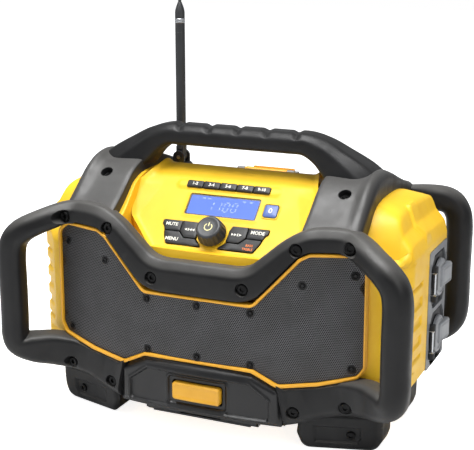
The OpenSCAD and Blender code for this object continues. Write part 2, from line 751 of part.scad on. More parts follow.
module carry_handle() color("#3a3c40") {
    difference() {
        union() {
            swept(handle_path, [0, 1, 0], sides = 16);
            pair() swept(saddle_path, [1, 0, 0]);
            pair() swept(ridge_path, [1, 0, 0], sides = 12);
        }
        // finger grooves
        for (i = [-2:2]) translate([i * groove_pitch, 40, handle_top + groove_r - groove_depth])
            rotate([90, 0, 0]) cylinder(r = groove_r, h = 80, $fn = 32);
        for (side = [-1, 1]) for (end = [-1, 1]) on_saddle(side, end) screw_hole();
        for (p = front_screws) for (side = [-1, 1]) on_front(side * p.x, p.y, frame_face) thread();
        for (p = rear_screws) for (side = [-1, 1]) on_rear(side * p.x, p.y, frame_t) thread();
        shoulder_prism();
        translate([-big / 2, -big, 0]) cube([big, big - 60, 219]);
        pair() {
            swept([for (i = [11:18]) front_loop[i]], [0, 1, 0], grow = gap);
            swept([for (i = [11:len(rear_loop) - 1]) rear_loop[i]], [0, 1, 0], grow = gap);
        }
    }
}

// --- Grille and its screws ---
module speaker_grille() color("#55585c") {
    intersection() {
        along_y(rounded(grown(grille_outline, -0.4)), -far, -mid);
        front_slab(housing_front + 0.1, housing_front + 0.1 + grille_t);
    }
}

module grille_screw(x, z) on_front(x, z, housing_front + grille_t + 0.2) difference() {
    union() {
        cylinder(r = 3.4, h = 1);
        translate([0, 0, 1]) cylinder(r1 = 3.4, r2 = 2.4, h = 1);
    }
    translate([0, 0, 0.8]) cylinder(r = 1.5, h = 3, $fn = 6);
}

module grille_screws() color("#2a2b2d") {
    for (p = grille_places) for (side = [-1, 1]) grille_screw(side * p.x, p.y);
    grille_screw(0, 143.5);
    grille_screw(0, 90);
}

module frame_screws() color("#2a2b2d") {
    for (p = front_screws) for (side = [-1, 1]) on_front(side * p.x, p.y, frame_face) frame_screw();
    for (p = rear_screws) for (side = [-1, 1]) on_rear(side * p.x, p.y, frame_t) frame_screw();
    for (side = [-1, 1]) for (end = [-1, 1]) on_saddle(side, end) frame_screw();
    pair() foot_screw();
    mirror([0, 1, 0]) pair() foot_screw();
}

// --- Feet ---
// Places a piece on the recessed front panel of the right front foot, standing out of it
module on_foot() translate([foot_x, -76, 14]) rotate([0, 0, 22]) rotate([82, 0, 0])
    translate([0, 0, 2.6]) children();

module foot() difference() {
    hull() {
        for (q = [[-31, -80], [17, -58], [17, -24], [-31, -24]])
            translate([foot_x + q.x, q.y, 0]) cylinder(r = 5, h = 2, $fn = 32);
        for (q = [[-33, -84], [31, -58], [31, -20], [-33, -20]])
            translate([foot_x + q.x, q.y, floor_z + 4]) cylinder(r = 5, h = 2, $fn = 32);
        for (q = [[6, -60], [37, -54], [37, -20], [6, -20]])
            translate([foot_x + q.x, q.y, foot_top - 2]) cylinder(r = 5, h = 2, $fn = 32);
    }
    on_foot() linear_extrude(10) polygon(rounded([[-22, -8, 3], [22, -8, 3], [22, 10, 3], [-22, 10, 3]]));
    on_foot() translate([foot_screw_x, 1, -shank]) cylinder(r = 2.25, h = shank + 5);
}

module foot_screw() on_foot() translate([foot_screw_x, 1, 0]) {
    difference() {
        cylinder(r1 = 4.8, r2 = 3.9, h = 2.4);
        translate([0, 0, 1]) cylinder(r = 2, h = 3, $fn = 6);
    }
    translate([0, 0, -12]) cylinder(r = 2.2, h = 12);
}

// Foot at one corner, trimmed to the underside of the housing
module placed_foot(side, end) difference() {
    mirror([side < 0 ? 1 : 0, 0, 0]) mirror([0, end > 0 ? 1 : 0, 0]) foot();
    shoulders();
}

module foot_front_left() color("#2e3033") placed_foot(-1, -1);
module foot_front_right() color("#2e3033") placed_foot(1, -1);
module foot_rear_left() color("#2e3033") placed_foot(-1, 1);
module foot_rear_right() color("#2e3033") placed_foot(1, 1);

// --- Loudspeakers ---
module woofer() translate([woofer_x, woofer_back, woofer_z]) rotate([-90, 0, 0]) {
    rotate_extrude() polygon([[woofer_r - 4, 0], [woofer_r + 6, 0], [woofer_r + 6, 2.4], [woofer_r - 1, 2.4],
        [24, 28], [24, 31], [21, 31], [21, 27], [woofer_r - 4, 2]]);
    translate([0, 0, 31]) cylinder(r = 34, h = 16);
}

module cone() translate([woofer_x, woofer_back, woofer_z]) rotate([-90, 0, 0]) {
    rotate_extrude() polygon([[0, 14], [10, 17], [14, 21], [woofer_r - 10, 1.2], [woofer_r - 7, -2.2],
        [woofer_r - 4.3, 0], [woofer_r - 4.3, 1.4], [woofer_r - 7, -0.8], [woofer_r - 10, 2.6], [15, 23],
        [15, 30.9], [13.6, 30.9], [13.6, 22.6], [10, 18.4], [0, 15.4]]);
}

module woofer_left() color("#1f2022") mirror([1, 0, 0]) woofer();
module woofer_right() color("#1f2022") woofer();
module cone_left() color("#3b3d40") mirror([1, 0, 0]) cone();
module cone_right() color("#3b3d40") cone();

// --- Storage compartment ---
module storage_tray() color("#2f3134") {
    intersection() {
        difference() {
            translate([-bay_w / 2 - 2, -110, floor_z + wall]) cube([bay_w + 4, bay_d + 30, bay_h + 4]);
            translate([-bay_w / 2, -115, bay_z]) cube([bay_w, bay_d + 32.6, bay_h]);
        }
        behind(seat_back - wall);
    }
}

door_outline = mirrored([[door_w / 2, door_low, 1.5], [door_w / 2, door_low + 40.2, 1], [61, 80, 9]]);
door_panel = mirrored([[77, 33, 1], [77, 52, 1], [56, 66, 1]]);

module storage_door() color("#303236") {
    difference() {
        union() {
            intersection() {
                along_y(rounded(door_outline), -far, -mid);
                front_slab(frame_face - door_t, frame_face);
            }
            // hinge flange and barrel
            intersection() {
                translate([-door_barrel_w / 2, -112, door_pin_z + 1.6]) cube([door_barrel_w, 20, 4]);
                front_slab(seat_back, frame_face - 4);
            }
            bar_x(-door_barrel_w / 2 + gap, door_barrel_w / 2 - gap, door_pin_y, door_pin_z, door_barrel_r);
        }
        // hollow of the back, inside the rim
        intersection() {
            along_y(rounded(grown(door_outline, -door_rim)), -far, -mid);
            front_slab(seat_back, frame_face - door_skin);
        }
        // recessed field of the face
        intersection() {
            along_y(rounded(door_panel), -far, -mid);
            front_slab(frame_face - 1.2, frame_face + 1);
        }
        // room of the latch paddle and of its tongue
        translate([-paddle_w / 2 - 1.2, -125, paddle_z - paddle_h / 2 - 1.4])
            cube([paddle_w + 2.4, 19, paddle_h + 3]);
        translate([-11, -108, paddle_pin_z - 4.6]) cube([22, 30, 60]);
        bar_x(-paddle_w / 2 - 4, paddle_w / 2 + 4, paddle_pin_y, paddle_pin_z, 1.5 + run);
        translate([-paddle_w / 2 - 1.2, paddle_pin_y - 5, paddle_pin_z - 4.6]) cube([paddle_w + 2.4, 8, 9]);
        bar_x(-big, big, door_pin_y, door_pin_z, door_pin_r + run);
    }
}

module storage_door_pin() color("silver") {
    bar_x(-door_barrel_w / 2 - 10, door_barrel_w / 2 + 10, door_pin_y, door_pin_z, door_pin_r);
}

module storage_latch() color("#f3b92a") {
    intersection() {
        translate([-paddle_w / 2, -125, paddle_z - paddle_h / 2]) cube([paddle_w, 21.6, paddle_h]);
        front_slab(frame_face - 4.2, frame_face + 1);
    }
    // hub with its two trunnions, and the tongue behind the door's skin
    translate([-paddle_w / 2, paddle_pin_y - 4, paddle_pin_z - 2]) cube([paddle_w, 5.5, 4]);
    bar_x(-paddle_w / 2 - 3.6, paddle_w / 2 + 3.6, paddle_pin_y, paddle_pin_z, 1.5);
    translate([-10, paddle_pin_y, paddle_pin_z - 1.5]) cube([20, 4.4, 6]);
    translate([-10, paddle_pin_y + 2.4, paddle_pin_z - 1.5]) cube([20, 2, 39]);
}

// --- Battery door, tub and latch ---
batt_outline = mirrored([[batt_door_w / 2, batt_low, 3], [batt_door_w / 2, 196, 8], [70, batt_top, 10]]);

module battery_tub() color("#2f3134") {
    difference() {
        translate([-tub_w / 2, rear_y - tub_d - tub_wall, tub_z]) cube([tub_w, tub_d, tub_h]);
        translate([-tub_w / 2 + tub_wall, rear_y - tub_d, tub_z + tub_wall])
            cube([tub_w - 2 * tub_wall, tub_d + 10, tub_h - 2 * tub_wall]);
    }
    // guide rails of the battery
    for (side = [-1, 1]) translate([side * 36 - 3, rear_y - tub_d, tub_z + tub_wall])
        cube([6, 18, tub_h - 2 * tub_wall]);
}

module battery_terminals() color("#c9a24a") {
    translate([-20, rear_y - tub_d, tub_z + 20]) difference() {
        cube([40, 12, 50]);
        for (x = [6, 14, 26, 34]) translate([x - 1, -1, 10]) cube([2, 8, 60]);
    }
}

module battery_door() color("#303236") {
    difference() {
        union() {
            intersection() {
                along_y(rounded(batt_outline), rear_y - 10, rear_y + 20);
                difference() {
                    before_back(11.5);
                    before_back(0.8);
                }
            }
            bar_x(-57.6, 57.6, batt_pin_y, batt_pin_z, batt_barrel_r);
        }
        intersection() {
            along_y(rounded(grown(batt_outline, -14)), rear_y, rear_y + 30);
            difference() {
                before_back(30);
                before_back(9.5);
            }
        }
        for (side = [-1, 1]) translate([side * 62 - 4.4, rear_y - 5, batt_low - 5]) cube([8.8, 30, 16]);
        bar_x(-big, big, batt_pin_y, batt_pin_z, batt_pin_r + run);
    }
}

module battery_door_pin() color("silver") bar_x(-65.6, 65.6, batt_pin_y, batt_pin_z, batt_pin_r);

module battery_latch() color("#f3b92a") {
    difference() {
        union() {
            translate([-latch_w / 2, rear_y - 14, latch_z + 0.8]) cube([latch_w, 25, 4.4]);
            translate([-latch_w / 2, rear_y + 4, batt_top + 0.5]) cube([latch_w, 7, 4]);
            bar_x(-latch_w / 2, latch_w / 2, rear_y - 14, latch_z + 3.4, 2.8);
        }
        bar_x(-big, big, rear_y - 14, latch_z + 3.4, 1.2 + run);
    }
}

module battery_latch_bracket() color("#8a8d91") {
    for (side = [-1, 1]) translate([side * (latch_w / 2 + 4.8), 0, 0]) {
        translate([-4.2, rear_y - 19, latch_z]) cube([8.4, 20, 2.4]);
        translate([-4.2, rear_y - 18, latch_z]) cube([8.4, 8, 3.4]);
        bar_x(-4.2, 4.2, rear_y - 14, latch_z + 3.4, 2.8);
    }
    bar_x(-latch_w / 2 - 2, latch_w / 2 + 2, rear_y - 14, latch_z + 3.4, 1.2);
}

// --- Power side ---
module transformer() color("#7c7f83") {
    translate([power_gap - keel_x, 12, floor_z + wall]) cube([core_l, 52, 46]);
    translate([power_gap + coil_in - keel_x, 4, floor_z + wall]) cube([core_l - 2 * coil_in, 68, 36]);
}

module power_board() color("#2f6b3a") {
    translate([board_x, 6, floor_z + wall]) cube([board_l, 70, board_t]);
    for (x = [10, 32, 54]) translate([board_x + x, 30, floor_z + wall + board_t]) cylinder(r = 8, h = 24);
    translate([board_x + 6, 46, floor_z + wall + board_t]) cube([board_l - 20, 4, 30]);
}

module cable_inlet() color("#26272a") translate([inlet_x, 0, inlet_z]) rotate([-90, 0, 0]) {
    seat = rear_at(inlet_x - inlet_r - 2, 0) + 0.1;
    difference() {
        union() {
            translate([0, 0, rear_at(inlet_x, -wall) - 4]) cylinder(r = inlet_r - 0.1, h = wall + 8);
            translate([0, 0, seat]) cylinder(r = inlet_r + 1.6, h = 3);
            translate([0, 0, seat + 3]) cylinder(r1 = inlet_r + 1, r2 = inlet_r - 1, h = 8);
        }
        cylinder(r = 4, h = 200);
    }
}

// --- Socket panel ---
module socket_panel() color("#7d8187") {
    difference() {
        translate([pod_x - panel_t, panel_front, panel_low])
            cube([panel_t + 0.2, panel_back - panel_front, panel_top - panel_low]);
        for (z = sockets) translate([pod_x - 20, socket_y - well_w / 2, z - well_h / 2])
            cube([30, well_w, well_h]);
    }
}

module socket_inserts() color("#1d1e20") for (z = sockets) difference() {
    translate([pod_x - 22, socket_y - well_w / 2 + 0.2, z - well_h / 2 + 0.2])
        cube([20, well_w - 0.4, well_h - 0.4]);
    translate([pod_x - 2 - well_d, well_y, z]) rotate([0, 90, 0]) cylinder(r = well_r, h = 40);
    for (side = [-1, 1]) translate([pod_x - 30, well_y + side * 9.5, z]) rotate([0, 90, 0])
        cylinder(r = 2.4, h = 20);
}

// Round cover of one socket, with the band across it and the knuckle of its hinge
module cover(z) color("#b9bbbe") {
    difference() {
        union() {
            translate([pod_x - 1.4, well_y, z]) rotate([0, 90, 0]) cylinder(r = cover_r, h = 3);
            translate([pod_x + 0.5, cover_pin_y, z - band_w / 2]) cube([4, band_l, band_w]);
            translate([cover_pin_x, cover_pin_y, z - band_w / 2]) cylinder(r = 2.4, h = band_w);
        }
        translate([cover_pin_x, cover_pin_y, z - 20]) cylinder(r = cover_pin_r + run, h = 40);
    }
}

module socket_cover_upper() cover(sockets[0]);
module socket_cover_lower() cover(sockets[1]);

// Pins with the hinge lugs that stand on the inserts
module socket_cover_pins() color("silver") for (z = sockets) {
    translate([cover_pin_x, cover_pin_y, z - 14]) cylinder(r = cover_pin_r, h = 28);
    for (side = [-1, 1]) translate([pod_x - 2, cover_pin_y - 2.4, z + side * 12.7 - 1.3])
        cube([7, 4.8, 2.6]);
}

// --- Antenna ---
module antenna_socket() color("#808388") translate([mast_x, mast_y, 0]) difference() {
    translate([0, 0, socket_z]) cylinder(r = hub_r, h = socket_h);
    translate([0, 0, socket_z + 8]) cylinder(r = 6 + run, h = 40);
}

module antenna_knuckle() color("#303236") translate([mast_x, mast_y, 0]) {
    translate([0, 0, socket_z + 10]) cylinder(r = 6, h = 13.4);
    difference() {
        union() {
            translate([0, 0, socket_z + socket_h + 0.4]) cylinder(r = 10, h = 2.6);
            translate([-7, -8, socket_z + socket_h + 0.4]) cube([14, 16, 9.1]);
            translate([0, 8, fold_z]) rotate([90, 0, 0]) cylinder(r = 7, h = 16);
        }
        translate([-20, -5.2, fold_z - 6.5]) cube([50, 10.4, 30]);
        translate([0, 20, fold_z]) rotate([90, 0, 0]) cylinder(r = fold_r, h = 40);
    }
}

module antenna_pin() color("silver") {
    translate([mast_x, mast_y + 8.6, fold_z]) rotate([90, 0, 0]) cylinder(r = fold_r, h = 17.2);
}

module antenna_mast() color("#2c2d30") translate([mast_x, mast_y, fold_z]) difference() {
    union() {
        rotate([90, 0, 0]) translate([0, 0, -4.9]) cylinder(r = 5.2, h = 9.8);
        translate([-4.4, -4.6, 0]) cube([8.8, 9.2, 12]);
        translate([0, 0, 9]) cylinder(r = mast_r, h = mast_len - 9 - 36);
    }
    rotate([90, 0, 0]) translate([0, 0, -20]) cylinder(r = fold_r + run, h = 40);
}

module antenna_ring() color("silver") translate([mast_x, mast_y, fold_z + mast_len - 36])
    cylinder(r = mast_r + 0.2, h = 5);

module antenna_tip() color("#3c3d40") translate([mast_x, mast_y, fold_z + mast_len - 31]) {
    cylinder(r = mast_r, h = 10);
    translate([0, 0, 10]) cylinder(r1 = mast_r, r2 = 2.4, h = 9);
    translate([0, 0, 19]) cylinder(r = 1.8, h = 12);
}

// --- Display, board and knob ---
module lcd_window() color("#7f95f0") on_panel() translate([-lcd_w / 2, lcd_v - lcd_h / 2, -pod_skin])
    cube([lcd_w, lcd_h, pod_skin - 0.6]);

module lcd_module() color("#c9ccd0") on_panel() translate([-lcd_w / 2 - 4, lcd_v - lcd_h / 2 - 4, -11.7])
    cube([lcd_w + 8, lcd_h + 8, 8.4]);

module control_board() color("#2f6b3a") on_panel() {
    difference() {
        translate([0, 0, -13.6]) linear_extrude(1.6)
            polygon([[-50, -14], [50, -14], [64, 0], [74, 12], [74, 68], [-74, 68], [-74, 12], [-64, 0]]);
        translate([0, knob_v, -20]) cylinder(r = 3, h = 20);
    }
    // body of the rotary encoder
    translate([0, knob_v, -12]) difference() {
        translate([-6, -6, 0]) cube([12, 12, 6.5]);
        translate([0, 0, -1]) cylinder(r = 3 + run, h = 10);
    }
}

module encoder_shaft() color("silver") on_panel() translate([0, knob_v, -10])
    cylinder(r = 3, h = 10 + knob_h - 4);

module volume_knob() color("#2c2e31") on_panel() translate([0, knob_v, 0]) {
    difference() {
        translate([0, 0, 1.6]) rotate_extrude($fn = 72) polygon([[0, 0], [knob_r - 1, 0], [knob_r, 1],
            [knob_r - 1.2, 7], [knob_r - 2.6, knob_h - 4], [knob_r - 3.4, knob_h - 2.2],
            [knob_r - 5, knob_h - 1.6], [0, knob_h - 1.6]]);
        translate([0, 0, -1]) cylinder(r = 3 + run, h = knob_h - 2.6);
        for (i = [0:17]) rotate([0, 0, i * 20]) translate([knob_r + 1.2, 0, 3]) rotate([0, -5, 0])
            cylinder(r = 2, h = knob_h, $fn = 16);
    }
}

module source_key() color("#6f86c8") key(0, 1.6);
module mute_key() color("#2b2d30") key(1, 1.5);
module menu_key() color("#2b2d30") key(2, 1.5);
module previous_key() color("#2b2d30") key(3, 1.9);
module mode_key() color("#2b2d30") key(4, 1.5);
module tone_key() color("#2b2d30") key(5, 1.5);
module next_key() color("#2b2d30") key(6, 1.9);

front_housing();
speaker_baffle();
rear_housing();
control_pod();
front_bumper_frame();
rear_bumper_frame();
carry_handle();
speaker_grille();
grille_screws();
frame_screws();
foot_front_left();
foot_front_right();
foot_rear_left();
foot_rear_right();
woofer_left();
woofer_right();
cone_left();
cone_right();
storage_tray();
storage_door();
storage_door_pin();
storage_latch();
battery_tub();
battery_terminals();
battery_door();
battery_door_pin();
battery_latch();
battery_latch_bracket();
transformer();
power_board();
cable_inlet();
socket_panel();
socket_inserts();
socket_cover_upper();
socket_cover_lower();
socket_cover_pins();
antenna_socket();
antenna_knuckle();
antenna_pin();
antenna_mast();
antenna_ring();
antenna_tip();
lcd_window();
lcd_module();
control_board();
encoder_shaft();
volume_knob();
for (i = [0:4]) preset(i);
source_key();
mute_key();
menu_key();
previous_key();
mode_key();
tone_key();
next_key();
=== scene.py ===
"""Looks of the jobsite radio: rubber frames, yellow housing, perforated grille, keys, display and antenna.

Every piece is worked out in millimetres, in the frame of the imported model, and stored in metres.
"""
import bpy
import math
import numpy as np
from mathutils.geometry import delaunay_2d_cdt
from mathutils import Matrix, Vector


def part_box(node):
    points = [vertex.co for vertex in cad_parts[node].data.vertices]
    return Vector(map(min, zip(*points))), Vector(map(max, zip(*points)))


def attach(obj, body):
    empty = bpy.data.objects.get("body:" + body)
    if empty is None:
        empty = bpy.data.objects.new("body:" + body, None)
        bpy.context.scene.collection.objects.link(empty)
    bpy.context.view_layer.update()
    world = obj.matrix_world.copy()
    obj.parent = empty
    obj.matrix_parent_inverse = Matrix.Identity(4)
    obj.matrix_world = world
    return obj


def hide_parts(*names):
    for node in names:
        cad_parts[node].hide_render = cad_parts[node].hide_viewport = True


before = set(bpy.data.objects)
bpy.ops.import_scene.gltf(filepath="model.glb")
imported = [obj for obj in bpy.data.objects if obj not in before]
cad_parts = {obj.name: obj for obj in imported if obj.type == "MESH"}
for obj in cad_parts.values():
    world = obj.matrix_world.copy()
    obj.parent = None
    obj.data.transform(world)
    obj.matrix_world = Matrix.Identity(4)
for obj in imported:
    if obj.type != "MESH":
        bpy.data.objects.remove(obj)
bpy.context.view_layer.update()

MM = 0.001

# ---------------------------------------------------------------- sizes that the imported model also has, in mm
BOW_R = 656.0
GRILLE_Y = 107.0
BOW_C = BOW_R - GRILLE_Y
REAR_Y = 90.0
REAR_R = 1500.0
REAR_C = REAR_Y - REAR_R
FRAME_FACE = 4.0
SEAT_BACK = -18.0
PANEL_Y = -70.0
PANEL_Z = 205.0
TILT = math.radians(45)
POD_X = 212.0
LOOP_X = 214.0
LOOP_Y = 117.5


def front_at(x, proud):
    """Depth of the bowed front: y = c - sqrt((R + proud)^2 - x^2)."""
    return BOW_C - np.sqrt((BOW_R + proud) ** 2 - np.asarray(x, float) ** 2)


def rear_at(x, proud=0.0):
    """Depth of the bowed back: y = c + sqrt((R + proud)^2 - x^2)."""
    return REAR_C + np.sqrt((REAR_R + proud) ** 2 - np.asarray(x, float) ** 2)


def on_panel(p):
    """Points (x, v, h) of the control panel: x along it, v up its slope, h out of it."""
    p = np.asarray(p, float)
    c, s = math.cos(TILT), math.sin(TILT)
    return np.stack([p[..., 0], PANEL_Y + p[..., 1] * c - p[..., 2] * s,
                     PANEL_Z + p[..., 1] * s + p[..., 2] * c], -1)


# ---------------------------------------------------------------- materials
def linear(code):
    """Linear colour of a hexadecimal display colour."""
    c = np.array([int(code[i:i + 2], 16) / 255 for i in (1, 3, 5)])
    c = np.where(c <= 0.04045, c / 12.92, ((c + 0.055) / 1.055) ** 2.4)
    return (*c.tolist(), 1.0)


class Finish:
    """A node material: a Principled shader with helpers that add noise, bump and mixes to it."""

    def __init__(self, name, colour, roughness, metallic=0.0, **more):
        self.mat = bpy.data.materials.new(name)
        self.mat.use_nodes = True
        self.tree = self.mat.node_tree
        self.shader = self.tree.nodes["Principled BSDF"]
        self.set("Base Color", colour)
        self.set("Roughness", roughness)
        self.set("Metallic", metallic)
        for key, value in more.items():
            self.set(key.replace("_", " "), value)
        self.coords = self.add("TexCoord").outputs["Object"]
        self.normal = None

    def feed(self, socket, value):
        """Sets a socket to a number or a colour code, or links it to another socket."""
        if isinstance(value, (int, float, str)):
            socket.default_value = linear(value) if isinstance(value, str) else value
        else:
            self.link(value, socket)

    def set(self, name, value):
        self.feed(self.shader.inputs[name], value)

    def add(self, kind, inputs=None, **values):
        """A new node: inputs holds the values of its sockets, the keywords are its settings."""
        node = self.tree.nodes.new("ShaderNode" + kind)
        for key, value in values.items():
            setattr(node, key, value)
        for key, value in (inputs or {}).items():
            node.inputs[key].default_value = value
        return node

    def link(self, a, b):
        self.tree.links.new(a, b)

    def noise(self, scale, detail=3.0, rough=0.5, stretch=None):
        """Noise of a given number of cells per metre, stretched along the axes if asked."""
        node = self.add("TexNoise", {"Scale": scale, "Detail": detail, "Roughness": rough})
        source = self.coords
        if stretch:
            mapping = self.add("Mapping", {"Scale": stretch})
            self.link(source, mapping.inputs["Vector"])
            source = mapping.outputs["Vector"]
        self.link(source, node.inputs["Vector"])
        return node.outputs["Fac"]

    def math(self, operation, a, b=None):
        node = self.add("Math", operation=operation)
        for socket, value in zip(node.inputs, (a,) if b is None else (a, b)):
            self.feed(socket, value)
        return node.outputs[0]

    def ramp(self, source, low, high, to_low=0.0, to_high=1.0):
        """Maps low..high of the source to two values, with a smooth step between them."""
        node = self.add("MapRange", {"From Min": low, "From Max": high, "To Min": to_low, "To Max": to_high},
                        interpolation_type="SMOOTHSTEP")
        self.link(source, node.inputs["Value"])
        return node.outputs[0]

    def mix(self, factor, a, b):
        """Colour a where the factor is 0 and b where it is 1; each a colour code or a socket."""
        node = self.add("Mix", data_type="RGBA")
        for i, value in ((0, factor), (6, a), (7, b)):
            self.feed(node.inputs[i], value)
        return node.outputs[2]

    def face(self, node):
        self.normal = node.outputs["Normal"]
        self.link(self.normal, self.shader.inputs["Normal"])

    def bump(self, height, distance, strength):
        """Adds a bump of the given depth in metres on top of those already there."""
        node = self.add("Bump", {"Strength": strength, "Distance": distance})
        self.link(height, node.inputs["Height"])
        if self.normal:
            self.link(self.normal, node.inputs["Normal"])
        self.face(node)

    def soft_edges(self, radius):
        """Rounds hard edges in the shading by the radius in metres."""
        self.face(self.add("Bevel", {"Radius": radius}, samples=4))


def moulded(name, light, dark, roughness, grain=2600.0, depth=0.00006, edge=0.0008, **more):
    """Moulded plastic: a spark-eroded grain, slow changes of tone, and a little uneven gloss."""
    f = Finish(name, light, roughness, **more)
    if edge:
        f.soft_edges(edge)
    f.bump(f.noise(grain, 2.0, 0.6), depth, 0.55)
    f.set("Base Color", f.mix(f.ramp(f.noise(16.0, 4.0, 0.6), 0.32, 0.7), light, dark))
    f.set("Roughness", f.ramp(f.noise(55.0), 0.3, 0.7, roughness - 0.06, roughness + 0.06))
    return f.mat


def rubber(name, light, dark, roughness, gloss, top_highlight=0.3):
    """Moulded rubber: a fine matt grain, dusty soft patches, slightly shinier rubbed places, and a painted grey
    highlight on the faces that look up, where the lamp above would light them."""
    f = Finish(name, light, roughness, Sheen_Weight=0.02, Sheen_Roughness=0.6, Specular_IOR_Level=gloss)
    f.soft_edges(0.0012)
    f.bump(f.noise(3400.0, 2.0, 0.7), 0.00007, 0.6)
    split = f.add("SeparateXYZ")
    f.link(f.add("TexCoord").outputs["Normal"], split.inputs[0])
    patches = f.ramp(f.noise(40.0, 5.0, 0.6), 0.2, 0.8, 0.75, 1.0)
    up = f.math("MULTIPLY", f.ramp(split.outputs[2], 0.25, 1.0), patches)
    body = f.mix(f.ramp(f.noise(22.0, 5.0, 0.62), 0.3, 0.72), light, dark)
    # painted highlight: faces that look up are mixed in patches towards grey #8a8884, by up to top_highlight, standing
    # in for the lamp above
    f.set("Base Color", f.mix(f.math("MULTIPLY", up, top_highlight), body, "#8a8884"))
    f.set("Roughness", f.ramp(f.noise(60.0, 4.0), 0.3, 0.72, roughness - 0.09, roughness + 0.07))
    return f.mat


def brushed(name, colour, roughness):
    """Metal with fine drawn lines along one axis."""
    f = Finish(name, colour, roughness, 1.0)
    lines = f.noise(900.0, 3.0, 0.7, (1.0, 1.0, 30.0))
    f.set("Roughness", f.ramp(lines, 0.3, 0.7, roughness - 0.08, roughness + 0.12))
    f.bump(lines, 0.00002, 0.5)
    return f.mat


HOLE_PITCH = 2.1


def perforated(name):
    """Grille steel with rows of round holes, read from the sheet's own map in mm.

    Two nets of oblong cells, pitch by pitch * sqrt(3), lie half a cell apart. The distance from the nearer cell
    middle, in pitches, says whether a point is in a hole, up to 0.36, or on the metal, from 0.41."""
    f = Finish(name, "#55575a", 0.42, 0.75)
    split = f.add("SeparateXYZ")
    f.link(f.add("TexCoord").outputs["UV"], split.inputs[0])
    nets = []
    for shift in (0.0, 0.5):
        u, v = (f.math("ADD", f.math("DIVIDE", f.math("MULTIPLY", split.outputs[i], 1000.0), cell), shift)
                for i, cell in enumerate((HOLE_PITCH, HOLE_PITCH * math.sqrt(3))))
        du = f.math("SUBTRACT", f.math("FRACT", u), 0.5)
        dv = f.math("MULTIPLY", f.math("SUBTRACT", f.math("FRACT", v), 0.5), math.sqrt(3))
        nets.append(f.math("SQRT", f.math("ADD", f.math("MULTIPLY", du, du), f.math("MULTIPLY", dv, dv))))
    away = f.math("MINIMUM", nets[0], nets[1])
    metal = f.ramp(away, 0.36, 0.41)
    tone = f.mix(f.ramp(f.noise(30.0, 4.0), 0.3, 0.7), "#626264", "#59595a")
    # painted shade: the holes are near-black #050506, standing in for the shaded cavity behind the sheet that shows
    # through them
    f.set("Base Color", f.mix(metal, "#050506", tone))
    f.set("Roughness", f.ramp(metal, 0.0, 1.0, 0.9, 0.4))
    f.set("Metallic", f.math("MULTIPLY", metal, 0.75))
    f.bump(f.ramp(away, 0.26, 0.42), 0.0004, 0.7)
    return f.mat


def display_glass():
    """Lit display behind clear plastic: an even blue with faint clouds."""
    f = Finish("display_glass_blue", "#7f95f0", 0.5, Specular_IOR_Level=0.15, Coat_Weight=0.05, Coat_Roughness=0.3)
    f.set("Base Color", f.mix(f.ramp(f.noise(14.0, 2.0), 0.3, 0.7), "#4a66cc", "#4460c4"))
    f.set("Emission Color", "#7d97ec")
    f.set("Emission Strength", 0.27)
    return f.mat


yellow = moulded("yellow_housing_plastic", "#f9c931", "#f2be27", 0.42, Specular_IOR_Level=0.34)
yellow_key = moulded("yellow_paddle_plastic", "#e0a62a", "#d69b21", 0.4)
yellow_lip = moulded("yellow_lip_plastic", "#e8aa28", "#dd9e1f", 0.42)
# painted shade: the panel is the housing's yellow plastic, given a slightly darker, less glossy copy because it faces
# the lamp above
pod_yellow_painted_shade = moulded("yellow_panel_plastic", "#f3c630", "#edbc29", 0.44, Specular_IOR_Level=0.3)
# the last number of each rubber is how much painted top highlight it gets
black_rubber = rubber("frame_rubber_black", "#161617", "#101011", 0.43, 0.28, 0.35)
grip_rubber = rubber("handle_rubber_black", "#1a1a1b", "#141415", 0.42, 0.26, 0.02)
# painted light: the saddles are the frames' rubber with a lighter base colour and more gloss, because their flat tops
# face the lamp above
saddle_rubber_painted_lit = rubber("saddle_rubber_black", "#262627", "#1f1f20", 0.4, 0.34, 0.25)
foot_rubber = rubber("foot_rubber_black", "#1c1c1d", "#161617", 0.46, 0.26)
door_plastic = moulded("door_plastic_black", "#18181a", "#131314", 0.34, Specular_IOR_Level=0.42)
black_plastic = moulded("inner_plastic_black", "#232427", "#1b1c1e", 0.55)
key_rubber = moulded("key_rubber_black", "#1b1b1c", "#151516", 0.5, 3200.0, 0.00005, 0.0006)
knob_rubber = moulded("knob_rubber_black", "#3a3b3d", "#303133", 0.42, 3000.0, 0.00005, 0.0006)
blue_plastic = moulded("source_key_blue", "#5068a8", "#465d9b", 0.35)
mast_rubber = moulded("antenna_sleeve_black", "#2e2f32", "#262729", 0.48)
grille_steel = perforated("grille_steel_perforated")
screw_steel = moulded("screw_steel_black", "#121213", "#0c0c0d", 0.3, 1800.0, 0.00003, 0.0003, metallic=0.7)
dimple_steel = moulded("grille_dimple_black", "#2a2a2b", "#202021", 0.35, 1800.0, 0.00003, 0.0003, metallic=0.5)
pin_steel = brushed("pin_steel_bright", "#c6c8cb", 0.28)
ring_steel = brushed("ring_steel_turned", "#d8dadd", 0.2)
brass = brushed("terminal_brass", "#c9a24a", 0.3)
iron = brushed("transformer_iron", "#7a7d81", 0.5)
grey_panel = moulded("socket_panel_grey", "#7e8083", "#727477", 0.45)
cover_grey = moulded("socket_cover_grey", "#8f9194", "#828488", 0.4)
latch_grey = moulded("bracket_grey", "#7d8084", "#707377", 0.42)
cone_paper = moulded("speaker_cone_paper", "#2d2e31", "#232427", 0.8, 900.0, 0.0002, 0.0)
basket_steel = moulded("speaker_basket_black", "#1b1c1e", "#141517", 0.5, metallic=0.4)
board_green = moulded("circuit_board_green", "#24603a", "#1d5331", 0.5)
display_back = moulded("display_module_grey", "#c9ccd0", "#bfc2c6", 0.5)
display_black = moulded("display_border_black", "#20262e", "#1b2027", 0.3, edge=0.0)
